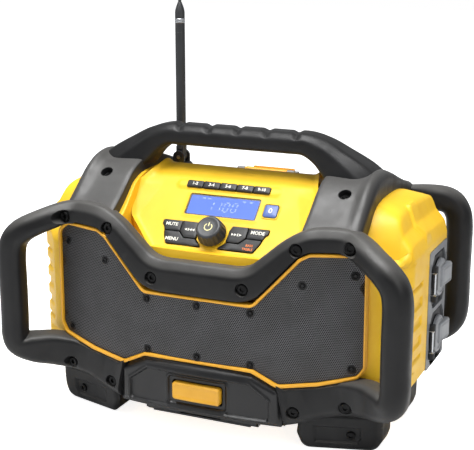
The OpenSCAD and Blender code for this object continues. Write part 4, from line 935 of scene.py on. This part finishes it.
# places on the panel as (x, v), and the outlines of the pads and of the openings round them as (x, v, r)
LCD = (0, 40)
SOURCE_AT = (54.5, 40.2)
PRESET_AT = (0, 63.5)
KNOB_V = 5.5
PAD = [[[-60, 12, 1.5], [-60, 17.5, 1.5], [-38, 17.5, 0.3], [-38, 5.2, 0.3], [-55.6, 5.2, 1], [-57.3, 10, 2]],
       [[-53.6, -1, 1], [-55.2, 4.4, 1], [-38, 4.4, 0.3], [-31, -2.6, 0.3], [-18, -2.6, 0.3], [-9, -10.5, 1],
        [-49, -10.5, 2]],
       [[-37.2, 5, 0.3], [-37.2, 17.5, 0.3], [-19.5, 17.5, 1], [-17.5, 12, 2], [-17.2, -1.8, 1], [-30.7, -1.8, 0.3]]]
PAD_HOLE = [(-60.7, 11.9), (-60.7, 18.2), (-18.9, 18.2), (-16.7, 12.2), (-16.4, -2), (-7.6, -11.2), (-49.5, -11.2),
            (-54.5, -1), (-56.2, 5), (-58, 9.8)]
PRESETS = box(*PRESET_AT, 96.1, 8.7, 0.8)


def key_outline(k, clear=0.0):
    """Outline of a key on the panel, anticlockwise: 0 the source key, 1 to 3 on the left, 4 to 6 on the right."""
    if k == 0:
        return box(*SOURCE_AT, 15 + 2 * clear, 15 + 2 * clear, 2.5)
    p = np.array(PAD[(k - 1) % 3], float)
    if area(p[:, :2]) < 0:
        p = p[::-1]
    if k > 3:
        p = p[::-1] * [-1, 1, 1]
    return rounded(grown(p, clear)) if clear else rounded(p)


def to_run(p):
    """Flat points (x, v up the panel) as (x, length along the pod's profile)."""
    return np.column_stack([p[:, 0], [run_of(v) for v in p[:, 1]]])


def control_pod():
    """Skin of the pod: a net over (x, length along the profile) with openings for display, knob and keys.

    It sinks by a rounded chamfer along its outline, by a flat facet beyond a slanting line on each wing,
    into a shallow scooped recess round the preset keys and into a narrow one round the display."""
    runs = np.linspace(0, SLOPE_TOP, 70)
    wide = pod_half(runs)
    outline = spread(np.concatenate([np.column_stack([wide, runs]), np.column_stack([-wide, runs])[::-1]]), 2.4)
    openings = [(h, 2.2) for h in (box(*LCD, 81.4, 26.4, 1.6), box(0, KNOB_V, 8, 8, 3.9), PRESETS)]
    openings.append((key_outline(0, 0.45), 2.0))
    openings += [(rounded([[s * a, b, 1.2] for a, b in PAD_HOLE[::s]]), 2.0) for s in (1, -1)]
    holes = [to_run(spread(h, step)) for h, step in openings]
    preset_edge = to_run(box(*PRESET_AT, 121, 11.4, 5.2, 10))
    lcd_edge = to_run(box(*LCD, 86.5, 31, 2.5, 6))

    def lift(q):
        d = distance(q, outline)
        side = pod_half(q[:, 1]) - np.abs(q[:, 0])
        open_end = (q[:, 1] < 3) | (q[:, 1] > SLOPE_TOP - 3)
        d = np.where(open_end | (side < d + 2), np.maximum(side, 0), np.minimum(side, 99))
        drop = least(0 * d, (d - 5.0) * 0.75, 1.2)
        v = (np.interp(q[:, 1], SLOPE_RUN, SLOPE[:, 1]) - PANEL_Z) / math.sin(TILT)
        wing = (np.abs(q[:, 0]) - 78) * 0.87 + (v - 62) * 0.30
        drop = drop - 0.2 * np.maximum(wing, 0) * smooth_step((v + 5) / 30) * smooth_step((70 - v) / 12)
        drop = drop - 1.5 * smooth_step(depth_in(q, preset_edge) / 2.2)
        return pod_surface(q, drop - 0.5 * smooth_step(depth_in(q, lcd_edge) / 1.0))

    points, faces = sheet(outline, holes, 2.3, lift)
    start = 0
    for ring in [outline] + holes:
        n, m, outer = len(ring), len(points), ring is outline
        top = points[start:start + n]
        if outer:
            below = top - [0, 0, 16.0]
            below[:, 1] = np.minimum(below[:, 1] + 4, 18)
            rear_edge = top[:, 1] > 17
            below[rear_edge] = top[rear_edge] - [0, 0, 12]
        else:
            below = top - np.array([0, -0.7, 0.7]) * 3.2
        faces += wall(n, start, m, (area(ring) > 0) == outer)
        points = np.concatenate([points, below])
        start += n
    shape("pod_skin", points, faces, pod_yellow_painted_shade, "control_pod", 38, "yellow_shell")


control_pod()


# ---------------------------------------------------------------- keys and lettering
def level(q, h):
    """The flat points (x, v) at the height h above the panel."""
    return np.column_stack([q, np.full(len(q), h)])


def key_cap(name, outline, high, finish, body, node, crown, slot="key_rubber"):
    """Key: its outline carried up to the top, with a rounded rim, and a crown that rises towards its middle."""
    edge = spread(outline, 1.0)
    centre = edge.mean(0)
    rim = 0.8
    levels = [(-10.4, 0.0), (high - rim, 0.0), (high - rim * 0.3, 0.22 * rim), (high, rim)]
    rings = [level(edge + unit(centre - edge) * inset, h) for h, inset in levels]
    inward = rings[-1][:, :2] - centre
    rings += [level(inward * k + centre, high + crown * rise) for k, rise in ((0.6, 0.75), (0.05, 1))]
    rows, cols = len(rings), len(edge)
    faces = net_faces(rows, cols, closed_cols=True)
    faces += [list(range(cols))[::-1], [(rows - 1) * cols + k for k in range(cols)]]
    return shape(name, on_panel(np.concatenate(rings)), faces, finish, node, 40, slot, body=body)


def lettering(name, marks, finish, body, thick=0.12):
    """Flat printed marks: text of the plain built-in face or outlines, each (what, x, v, height, h)."""
    parts = []
    for what, x, v, size, h in marks:
        if isinstance(what, str):
            curve = bpy.data.curves.new("marks", "FONT")
            curve.body = what
            curve.align_x, curve.align_y = "CENTER", "CENTER"
            curve.size = size
            curve.offset = 0.03 * size
            curve.resolution_u = 3
            thing = bpy.data.objects.new("marks", curve)
            mesh = bpy.data.meshes.new_from_object(thing)
            p = np.array([tuple(q.co) for q in mesh.vertices])
            f = [list(q.vertices) for q in mesh.polygons]
            bpy.data.objects.remove(thing)
            bpy.data.curves.remove(curve)
            bpy.data.meshes.remove(mesh)
        else:
            p, f = np.asarray(what, float), [list(range(len(what)))]
        parts.append((level(p[:, :2] + [x, v], h + thick), f))
    points, faces = joined(parts)
    return shape(name, on_panel(points), faces, finish, None, 30, body=body)


def arrow(way):
    """Triangle that points to the right, or to the left if way is -1."""
    return np.array([[-1.4 * way, -1.5], [1.6 * way, 0], [-1.4 * way, 1.5]][::way])


KEY_TOPS = {"source": 1.3, "mute": 1.4, "menu": 1.4, "previous": 1.9, "mode": 1.4, "tone": 1.4, "next": 1.9}
for k, (key, top) in enumerate(KEY_TOPS.items()):
    look = (0.15, "key_rubber") if k else (0.5, "blue_key")
    key_cap(key + "_cap", key_outline(k), top, key_rubber if k else blue_plastic, key + "_button", key + "_key", *look)
turn = np.arange(24) * math.pi / 12
oval = np.stack([np.cos(turn) * 2.0, np.sin(turn) * 3.0], 1)
hole = oval * [0.52, 0.68]
lettering("source_mark", [(np.concatenate([oval, oval[:1], hole[[0]], hole[::-1]]), *SOURCE_AT, 1, 1.85)], print_white,
          "source_button")
rim = np.stack([level(box(*SOURCE_AT, w, w, r, 6), h)
                for w, r, h in ((19.5, 4.0, -0.2), (18.7, 3.7, 0.7), (16.6, 2.9, 0.7), (15.9, 2.6, -0.2))])
shape("source_key_rim", on_panel(rim.reshape(-1, 3)), net_faces(4, rim.shape[1], closed_cols=True), pod_yellow_painted_shade, None,
      40)
MARK_TOP, ARROW_TOP = 1.62, 2.12
bar = np.array([[-0.5, -1.6], [0.5, -1.6], [0.5, 1.6], [-0.5, 1.6]])
MARKS = {
    "mute": [("MUTE", -48.8, 12.3, 5.4, MARK_TOP)], "menu": [("MENU", -43.5, -5.2, 5.4, MARK_TOP)],
    "mode": [("MODE", 48.8, 12.3, 5.4, MARK_TOP)],
    "tone": [("BASS", 44, -3.2, 3.6, MARK_TOP), ("TREBLE", 43, -7.6, 3.6, MARK_TOP)],
    "previous": [(q, x, 7.5, 1, ARROW_TOP)
                 for q, x in ((arrow(-1), -31), (bar, -28), (arrow(-1), -25.5), (arrow(-1), -22.3))],
    "next": [(q, x, 7.5, 1, ARROW_TOP) for q, x in ((arrow(1), 22.3), (arrow(1), 25.5), (bar, 28), (arrow(1), 31))],
}
for key, marks in MARKS.items():
    lettering(key + "_mark", marks, print_orange if key == "tone" else print_white, key + "_button")
for i, text in enumerate(("1-2", "3-4", "5-6", "7-8", "9-10")):
    x, end = (i - 2) * 19.2, str(i + 1)
    body = "preset_" + end
    key_cap("preset_cap_" + end, box(x, 63.5, 18.6, 8, 0.9), 3.1, key_rubber, body, "preset_key_" + end, 0.35)
    lettering("preset_mark_" + end, [(text, x, 63.3, 5.0, 3.42)], print_white, body)


# ---------------------------------------------------------------- display
DIGITS = {"0": "abcdef", "1": "bc", "8": "abcdefg"}
LCD_TOP = -0.6


def segments(text, x, v, high, w):
    """Seven-segment digits as thin slanted bars."""
    t, h = 0.13 * high, high / 2
    place = {"a": (0, 2 * h, 1), "g": (0, h, 1), "d": (0, 0, 1), "f": (0, 1.5 * h, 0), "b": (w, 1.5 * h, 0),
             "e": (0, 0.5 * h, 0), "c": (w, 0.5 * h, 0)}
    out = []
    for n, digit in enumerate(text):
        for segment in DIGITS[digit]:
            px, pv, flat_bar = place[segment]
            x0, x1 = (px + t * 0.7, px + w - t * 0.7) if flat_bar else (px - t / 2, px + t / 2)
            v0, v1 = (pv - t / 2, pv + t / 2) if flat_bar else (pv - h / 2 + t * 0.6, pv + h / 2 - t * 0.6)
            q = np.array([[x0, v0], [x1, v0], [x1, v1], [x0, v1]])
            q[:, 0] += 0.12 * q[:, 1]
            out.append((q + [n * (w * 1.75), 0], x, v, 1, LCD_TOP))
    return out


def display():
    """Window with a black border, the lit field and pale dark-blue digits and marks."""
    outer, inner = box(*LCD, 81, 26, 1.4, 4), box(*LCD, 77.6, 22.6, 1.0, 4)
    n = len(outer)
    ring = net_faces(2, n, closed_cols=True)
    window = np.concatenate([level(outer, -3.0), level(outer, LCD_TOP)])
    shape("display_window", on_panel(window), ring + [list(range(n))[::-1], list(range(n, 2 * n))], glass_blue,
          "lcd_window", 40, "display_glass")
    border = np.concatenate([level(outer, LCD_TOP + 0.1), level(inner, LCD_TOP + 0.1)])
    shape("display_border", on_panel(border), ring, display_black, None, 40)
    marks = segments("1100", -17.5, 34.5, 11, 5.2) + segments("88", -34, 47.6, 2.4, 1.2)
    marks += [(box(x, 48.6, 3.4, 1.6, 0.3), 0, 0, 1, LCD_TOP) for x in (-24, -18, 22, 30)]
    lettering("display_digits", marks, digit_blue, "radio", 0.1)


display()


# ---------------------------------------------------------------- volume knob
def knob():
    """Knob: a turned profile with eighteen ribs, whose radius sinks by half a cosine between them."""
    r, h = np.array([[14.3, 1.6], [15.3, 2.4], [15.5, 3.4], [15.2, 6], [14.7, 9], [14.2, 12], [13.7, 14.2],
                     [13.2, 15.2], [12.2, 16.0], [11.2, 16.35], [10.3, 16.2], [9.2, 15.95], [6, 15.8], [2.5, 15.75],
                     [0.3, 15.75]]).T[:, :, None]
    turn = np.arange(180) * 2 * math.pi / 180
    side = smooth_step((h - 2.6) / 1.2) * smooth_step((15.0 - h) / 1.2) * (r > 12.9)
    rib = 0.5 - 0.5 * np.cos(18 * turn)[None]
    rr = r - 0.75 * side * smooth_step((rib - 0.25) / 0.5)
    net = np.stack([rr * np.cos(turn), rr * np.sin(turn) + KNOB_V, np.broadcast_to(h, rr.shape)], -1)
    points, faces = closed_bar(net)
    shape("knob_cap", on_panel(points), faces, knob_rubber, "volume_knob", 45, "dark_plastic", body="knob")
    ring = np.linspace(math.radians(125), math.radians(415), 30)
    arc = np.stack([np.cos(ring), np.sin(ring)], 1)
    power = [np.concatenate([arc * 4.6, (arc * 3.5)[::-1]]), box(0, 0, 1.1, 4.6, 0.3) + [0, 3.2]]
    lettering("knob_power_mark", [(q, 0, KNOB_V, 1, 15.86) for q in power], print_cream, "knob")


knob()


# ---------------------------------------------------------------- storage door and its paddle
PADDLE_AT = (0, 49.5)


def door():
    """Door: a bowed plate 4 mm proud of the bow. At e mm from its edge it is lower by 5 * (1 - s(e / 9))^2, where s
    is the smooth step. It is 2.8 mm lower in a field with two cut corners and 1.8 mm lower in a trough round the
    paddle; outside each runs a raised line, 1.2 or 1.3 mm times e^(-(d / 1.2)^2) at d mm from the line."""
    edge = spread(rounded(DOOR, 6), 1.6)
    field = rounded(mirrored([[80, 31, 3], [80, 53, 3], [58, 69, 3]]), 6)
    trough = box(*PADDLE_AT, 66, 30, 4, 6)
    hole = spread(box(*PADDLE_AT, 57.4, 21.8, 3.0, 6), 1.6)

    def lift(q):
        proud = FRAME_FACE - 5.0 * (1 - smooth_step(distance(q, edge) / 9.0)) ** 2
        d = depth_in(q, field)
        proud = proud - 2.8 * smooth_step(d / 1.6) + 1.2 * np.exp(-((d + 1.3) / 1.2) ** 2)
        t = depth_in(q, trough)
        proud = proud - 1.8 * smooth_step((t + 0.5) / 1.6) + 1.3 * np.exp(-((t + 1.8) / 1.2) ** 2)
        return on_bow(q, proud)

    points, faces = sheet(edge, [hole], 1.15, lift)
    start = 0
    for ring, deep in ((edge, -14.0), (hole, -6.0)):
        outer = ring is edge
        faces += wall(len(ring), start, len(points), outer)
        start += len(ring)
        points = np.concatenate([points, on_bow(ring, deep)])
        back_net, back_faces = sheet(ring, [], 6.0, lambda q: on_bow(q, deep))
        points, faces = joined([(points, faces), (back_net, [f[::-1] if outer else f for f in back_faces])])
    parts = [(points, faces)]
    for middle in (-43.5, 43.5):
        parts.append(turned([middle, -93, 20.4], [1, 0, 0], [3.2, 3.2], [-20, 20], 24, DRUM_ACROSS))
        parts.append(straight_bar([middle - 20, -95, 23.6], [middle + 20, -95, 23.6], 7, 9, (1, 1), 1.0, 0.6))
    lip = straight_bar([-56, -95.5, 18.6], [56, -95.5, 18.6], 2.6, 5, (0.5, 0.5), 0.4, 0.4)
    shape("door_lip", *lip, black_plastic, None, 40, body="storage_door")
    shape("door_face", *joined(parts), door_plastic, "storage_door", 38, "dark_plastic", body="storage_door")


def paddle():
    """Yellow paddle: a rounded plate 0.9 mm above the face of the door. At e mm from its edge it is lower by
    1.6 * (1 - s(e / 1.6))^2, with the smooth step s, and its middle inside the rim is 0.8 mm lower."""
    edge = spread(box(*PADDLE_AT, 54.6, 18.8, 3.2, 6), 1.5)
    rim = box(*PADDLE_AT, 49.5, 13.8, 2.0, 6)

    def lift(q):
        bevel = 1.6 * (1 - smooth_step(distance(q, edge) / 1.6)) ** 2
        return on_bow(q, FRAME_FACE + 0.9 - bevel - 0.8 * smooth_step(depth_in(q, rim) / 1.4))

    points, faces = sheet(edge, [], 1.7, lift)
    n, m = len(edge), len(points)
    faces += wall(n, 0, m, True) + [list(range(m, m + n))[::-1]]
    shape("paddle_face", np.concatenate([points, on_bow(edge, -2.5)]), faces, yellow_key, "storage_latch", 38,
          "yellow_latch", body="storage_latch")


door()
paddle()


# ---------------------------------------------------------------- feet
FOOT_SLANT = 0.28
FOOT_FRONT = 89.5
FOOT_BACK = -36


def foot(side, end, node):
    """Foot: a wedge with rounded lower corners whose front face carries a sunk field. The front slants:
    y = -89.5 + 0.28 * (x - 112) + 0.1 * (height left below 26), so the outer corner stands furthest back. At e mm
    from its edge it is deeper by 5 * (1 - s(e / 7))^2.5, with the smooth step s, and in the field by 2.6 mm."""
    outline = rounded([[109, 0.05, 10], [182, 0.05, 12], [187, 15, 7], [187.5, 42, 1], [107, 42, 1], [103, 17, 8]], 7)
    edge = spread(outline, 1.7)
    field = rounded([[121, 7.5, 4], [163, 7.5, 4], [168, 14, 4], [168, 27, 3], [120, 27, 3]], 6)

    def front(q, sink):
        return -FOOT_FRONT + (q[:, 0] - 112) * FOOT_SLANT + 0.10 * (26 - np.minimum(q[:, 1], 26)) + sink

    def lift(q):
        sink = 5.0 * (1 - smooth_step(distance(q, edge) / 7.0)) ** 2.5 + 2.6 * smooth_step(depth_in(q, field) / 1.8)
        return np.column_stack([q[:, 0], front(q, sink), q[:, 1]])

    face, faces = sheet(edge, [], 2.0, lift)
    n, m = len(edge), len(face)
    rows = [np.column_stack([edge[:, 0], front(edge, 5.5) * (1 - t) + t * FOOT_BACK, edge[:, 1]])
            for t in (0.03, 0.5, 1.0)]
    faces += wall(n, 0, m, True)
    faces += [f[::-1] for f in net_faces(len(rows), n, closed_cols=True, first=m)]
    faces.append(list(range(m + (len(rows) - 1) * n, m + len(rows) * n))[::-1])
    if side * -end < 0:
        faces = [f[::-1] for f in faces]
    shape(node.replace("foot", "shoe"), np.concatenate([face] + rows) * [side, -end, 1], faces, foot_rubber, node, 38,
          "frame_rubber")


for end, word in ((-1, "front"), (1, "rear")):
    for side, hand in zip(sides, ("left", "right")):
        foot(side, end, "foot_%s_%s" % (word, hand))


# ---------------------------------------------------------------- mains sockets on the right
SOCKETS = ((160, "upper"), (97, "lower"))
SOCKET_Y = 43.5


def at_side(q, x):
    """Flat points (y, z) set at x, the same for all or one for each."""
    return np.column_stack([np.broadcast_to(x, len(q)), q[:, 0], q[:, 1]])


def recess_outline(z):
    """Eight-sided outline of a socket's recess, round the height z."""
    half = np.array([[9, 16, 1.5], [20, 29, 1.5], [58, 29, 1.5], [67, 17, 1.5]])
    return rounded(np.concatenate([half * [1, -1, 1], half[::-1]]) + [0, z, 0], 4)


def socket_side():
    """Grey panel with two black eight-sided recesses."""
    edge = spread(rounded([[1, 68, 2], [70, 68, 2], [70, 196, 2], [1, 196, 2]], 5), 4)
    rings = [edge] + [spread(recess_outline(z), 3) for z, _ in SOCKETS]
    points, faces = sheet(edge, rings[1:], 6.0, lambda q: at_side(q, 212.2))
    start, m = 0, len(points)
    for ring in rings:
        n = len(ring)
        faces += wall(n, start, m, ring is edge)
        start += n
        m += n
    points = np.concatenate([points] + [at_side(ring, 208.2) for ring in rings])
    shape("socket_frame", points, faces, grey_panel, "socket_panel", 40, "grey_plastic")
    for z, word in SOCKETS:
        well = spread(box(SOCKET_Y, z, 38, 38, 18.9, 12), 2.5)
        bed = sheet(spread(recess_outline(z), 3), [well], 6.0, lambda q: at_side(q, 209.4))
        shape("socket_bed_" + word, *bed, black_plastic, None, 40)


def socket_cover(z, word):
    """Cover of a socket: a turned round lid, a hinge arm in front and a raised tab behind. The tab stands out to
    216 mm + 0.1 mm for each mm of depth, less 1.4 * (1 - s(e / 1.4))^2 at e mm from its edge, with the smooth step
    s, and less a groove of 0.6 * e^(-(d / 0.6)^2) at d mm from a ruled line inside the edge."""
    turn = np.arange(72) * 2 * math.pi / 72
    r, out = np.array([[20, 210.8], [20, 213.6], [19.2, 214.4], [16.4, 214.8], [15.8, 214.2], [14.2, 214.2],
                       [0.4, 214.5]]).T[:, :, None]
    lid = closed_bar(np.stack([np.broadcast_to(out, (7, 72)), SOCKET_Y + r * np.cos(turn), z + r * np.sin(turn)], -1))
    tab = rounded([[40, z - 11, 1.5], [70.5, z - 11, 2.5], [70.5, z + 11, 2.5], [40, z + 11, 1.5]], 6)
    edge = spread(tab, 1.5)
    line = rounded([[44, z - 8, 1], [67.5, z - 8, 1], [67.5, z + 8, 1], [44, z + 8, 1]], 4)

    def lift(q):
        e = distance(q, edge)
        d = distance(q, line)
        return at_side(q, 216.0 + 0.10 * (q[:, 0] - 40) - 1.4 * (1 - smooth_step(e / 1.4)) ** 2
                       - 0.6 * np.exp(-(d / 0.6) ** 2))

    top, tris = sheet(edge, [], 1.4, lift)
    n, m = len(edge), len(top)
    tris += wall(n, 0, m, True) + [list(range(m, m + n))[::-1]]
    shape("socket_lid_" + word, *joined([lid, (np.concatenate([top, at_side(edge, 212.9)]), tris)]), cover_grey,
          "socket_cover_" + word, 38, "cover_grey", body="cover_" + word)
    # the hinge arm and its blocks are black on a grey cover: partly the real hinge, partly painted shade of the notch
    # where the hinge sits
    arm = straight_bar([213.6, 12, z], [213.6, 27, z], 20, 2.6, (0.6, 0.6), 0.5, 0.4, (1, 0, 0))
    shape("socket_arm_" + word, *arm, black_plastic, None, 40, body="cover_" + word)
    for end, place in zip(sides, ("bottom", "top")):
        block = straight_bar([214.4, 13.5, z + end * 12.5], [214.4, 13.5, z + end * 19.0], 7, 5, (1, 1), 1.0, 0.8)
        shape("socket_hinge_%s_%s" % (word, place), *block, black_plastic, None, 40)


socket_side()
for z, word in SOCKETS:
    socket_cover(z, word)


# ---------------------------------------------------------------- screws
def screw_head(place, r, h):
    """Hexagon-socket head: the socket's ring has the radius a / cos(angle from the middle of its side)."""
    at, out = place
    t = np.arange(36) * 2 * math.pi / 36
    hexagon = 0.42 * r / np.cos((t + math.pi / 6) % (math.pi / 3) - math.pi / 6)
    return turned(at, out, [0.02, hexagon, hexagon, hexagon * 1.14, 0.70 * r, 0.80 * r, 0.94 * r, r, r],
                  [h - 1.8, h - 1.8, h - 0.2, h, h, h + 0.35, h + 0.1, h - 0.7, h - 2.6])


GRILLE_SCREWS = [(161.5, 190), (111, 177), (58.3, 143.4), (160, 94), (58.3, 88.5)]


def foot_place(side, end):
    """Place and direction of a foot's screw, square to its slanting front."""
    a = math.atan(FOOT_SLANT)
    return (np.array([side * 157.0, end * (FOOT_FRONT - 45 * FOOT_SLANT - 3.4), 17.0]),
            unit(np.array([side * math.sin(a), end * math.cos(a), -0.1])))


def fasteners():
    """Screws of the frames, the saddles and the feet, and the dimpled screws of the grille."""
    front = [on_shell(s * x, z, frame_face(x, z)) for x, z in FRONT_SCREWS for s in sides]
    behind = [on_shell(s * x, z, REAR_PROUD, 1) for x, z in REAR_SCREWS for s in sides]
    heads = [screw_head(p, 5.4, -2.2) for p in front + behind]
    heads += [screw_head(saddle_screw(s, e), 5.2, -8.0) for s in sides for e in sides]
    heads += [screw_head(foot_place(s, e), 4.8, 1.6) for s in sides for e in sides]
    shape("frame_screw_heads", *joined(heads), screw_steel, "frame_screws", 30, "black_screws")
    spots = [on_shell(s * x, z, -0.4) for x, z in GRILLE_SCREWS for s in sides]
    spots += [on_shell(0, 143.8, -0.4), on_shell(0, 89, -0.4)]
    washers = [turned(at, out, [0.02, 2.6, 3.0, 3.8, 4.5, 4.9, 4.9], [0.1, 0.1, 0.35, 0.75, 0.55, 0.15, -0.5])
               for at, out in spots]
    shape("grille_dimples", *joined(washers), dimple_steel, None, 30, "grille_steel")
    shape("grille_screw_heads", *joined([screw_head(p, 2.9, 0.9) for p in spots]), screw_steel, "grille_screws", 30,
          "black_screws")


fasteners()


# ---------------------------------------------------------------- antenna
MAST = [-93.5, 50.0, 0]
RING_Z = 413.5
TOP_Z = 439.5


def revolved(stations, count=36):
    """Solid of revolution round the mast: stations of (radius, height)."""
    return turned(MAST, [0, 0, 1], *zip(*stations), count)


def antenna():
    """Sleeve, turned ring and rounded tip: radii along the height of the mast."""
    upper = revolved([(0.02, 403.2), (5.4, 403.2), (5.4, RING_Z - 0.3), (5.0, RING_Z)])
    h = TOP_Z - RING_Z
    tip = revolved([(r, RING_Z + z) for r, z in (
        (0.02, 5.0), (5.0, 5.0), (5.4, 5.4), (5.4, 11.5), (5.15, 13.5), (4.6, 16), (3.6, 19), (2.6, 21.5), (2.1, 22.6),
        (1.75, 22.6), (1.75, h - 0.4), (1.2, h))])
    shape("antenna_sleeve_end", *joined([upper, tip]), mast_rubber, "antenna_tip", 40, "frame_rubber", body="antenna")
    ring = revolved([(r, RING_Z + z) for r, z in (
        (0.02, 0), (5.3, 0), (5.6, 0.3), (5.6, 1.9), (5.25, 2.2), (5.25, 2.8), (5.6, 3.1), (5.6, 4.7), (5.3, 5.0),
        (0.02, 5.0))], 48)
    shape("antenna_band", *ring, ring_steel, "antenna_ring", 30, "pin_steel", body="antenna")
    hub = revolved([(0.02, 253.0), (12.6, 253.0), (12.6, 255.4), (11.6, 256.6), (9.5, 257.2), (0.02, 257.4)], 48)
    shape("antenna_hub", *hub, door_plastic, None, 40, body="antenna_base")


antenna()


# ---------------------------------------------------------------- battery door and its latch
def battery_door_ribs():
    """Five upright ribs in the sunk field of the battery door."""
    bars = []
    for x in (-56, -28, 0, 28, 56):
        y, top = float(rear_at(x, 9.7)), 208.0 if abs(x) < 50 else 198.0
        bars.append(straight_bar([x, y, 98.0], [x, y, top], 9, 3.2, (1.4, 1.2), 0.6, 0.8, behind=True))
    shape("battery_door_ribs", *joined(bars), door_plastic, None, 35, body="battery_door")


def rear_latch():
    """Lever: a slim section over the hinge that slopes down to a hook behind the door's top edge. At both ends its
    slices shrink to 0.9 and 0.72 of their size towards the section's middle line."""
    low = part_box("battery_latch")[0][2] * 1000
    side_view = np.array([[73.4, 249.4], [74.2, 251.2], [76.2, 252.1], [79.5, 251.9], [84, 250.4], [92, 248.2],
                          [98, 246.6], [100.4, 244.6], [100.8, 240], [100.8, low + 0.6], [99.8, low], [95, low],
                          [94.2, low + 0.8], [94.2, 242.5], [93, 244.4], [84, 246.2], [78, 247.0], [75, 247.2]])
    ring = spread(rounded(np.column_stack([side_view, np.full(len(side_view), 0.4)]), 3), 1.2)
    core = np.array([ring[:, 0], np.interp(ring[:, 0], [73, 84, 101], [249.3, 248.3, 244])]).T
    slices = [(-25.5, 0.72), (-25.3, 0.9), (-24.6, 1), (-20, 1), (0, 1), (20, 1), (24.6, 1), (25.3, 0.9), (25.5, 0.72)]
    net = np.stack([np.column_stack([np.full(len(ring), x), core + (ring - core) * k]) for x, k in slices])
    shape("battery_lever", *closed_bar(net), yellow_key, "battery_latch", 35, "yellow_latch", body="battery_latch")


battery_door_ribs()
rear_latch()


# ---------------------------------------------------------------- room, light and camera
WHITE = (1, 1, 1, 1)


def surroundings():
    """White surroundings: full white to the camera, and a weak cool light to everything else."""
    world = bpy.data.worlds.new("studio_white")
    bpy.context.scene.world = world
    world.use_nodes = True
    tree = world.node_tree
    tree.nodes.clear()

    def add(kind):
        return tree.nodes.new("ShaderNode" + kind)

    def background(colour, strength):
        node = add("Background")
        node.inputs["Color"].default_value = colour
        node.inputs["Strength"].default_value = strength
        return node.outputs[0]

    path, most, mix = add("LightPath"), add("Math"), add("MixShader")
    most.operation = "MAXIMUM"
    for a, b in ((path.outputs["Is Camera Ray"], most.inputs[0]), (path.outputs["Is Transmission Ray"], most.inputs[1]),
                 (most.outputs[0], mix.inputs[0]), (background((0.96, 0.98, 1, 1), 0.3), mix.inputs[1]),
                 (background(WHITE, 1.0), mix.inputs[2]), (mix.outputs[0], add("OutputWorld").inputs[0])):
        tree.links.new(a, b)


def lamp(name, at, size, power):
    """Rectangular lamp at a place in metres, turned towards the middle of the radio."""
    data = bpy.data.lights.new(name, "AREA")
    data.shape = "RECTANGLE"
    data.size, data.size_y = size
    data.energy = power
    thing = bpy.data.objects.new(name, data)
    bpy.context.scene.collection.objects.link(thing)
    way = np.array([0, 0, 0.15]) - np.array(at)
    thing.location = at
    thing.rotation_euler = (math.acos(-way[2] / np.linalg.norm(way)), 0, math.atan2(way[1], way[0]) - math.pi / 2)


def white_floor():
    """White floor that shines a little to the camera."""
    bpy.ops.mesh.primitive_plane_add(size=12, location=(0, 0, -0.0004))
    floor = bpy.context.object
    floor.name = "studio_floor"
    f = Finish("floor_white", "#f4f4f4", 0.9)
    f.set("Base Color", f.mix(f.noise(2.0), "#f6f6f6", "#f2f2f2"))
    glow = f.add("Emission", {"Color": WHITE})
    blend = f.add("AddShader")
    f.link(f.math("MULTIPLY", f.add("LightPath").outputs["Is Camera Ray"], 0.85), glow.inputs["Strength"])
    f.link(f.shader.outputs[0], blend.inputs[0])
    f.link(glow.outputs[0], blend.inputs[1])
    f.link(blend.outputs[0], f.tree.nodes["Material Output"].inputs[0])
    floor.data.materials.append(f.mat)


def camera():
    """Camera above the right front corner of the radio."""
    data = bpy.data.cameras.new("camera")
    data.lens = 88.74
    data.sensor_width = 36
    thing = bpy.data.objects.new("camera", data)
    thing.location = (0.4964, -1.1197, 0.5210)
    thing.rotation_euler = (math.radians(90 - 14.519), 0, math.radians(24))
    bpy.context.scene.collection.objects.link(thing)
    bpy.context.scene.camera = thing


camera()
surroundings()
lamp("lamp_above", (-0.1, -0.3, 1.7), (1.3, 0.9), 41)
lamp("lamp_right", (1.5, -1.0, 1.1), (0.9, 1.2), 7)
lamp("lamp_left", (-1.4, -1.3, 1.0), (0.9, 1.2), 5)
white_floor()
bpy.context.scene.view_settings.view_transform = "Standard"

bpy.context.view_layer.update()
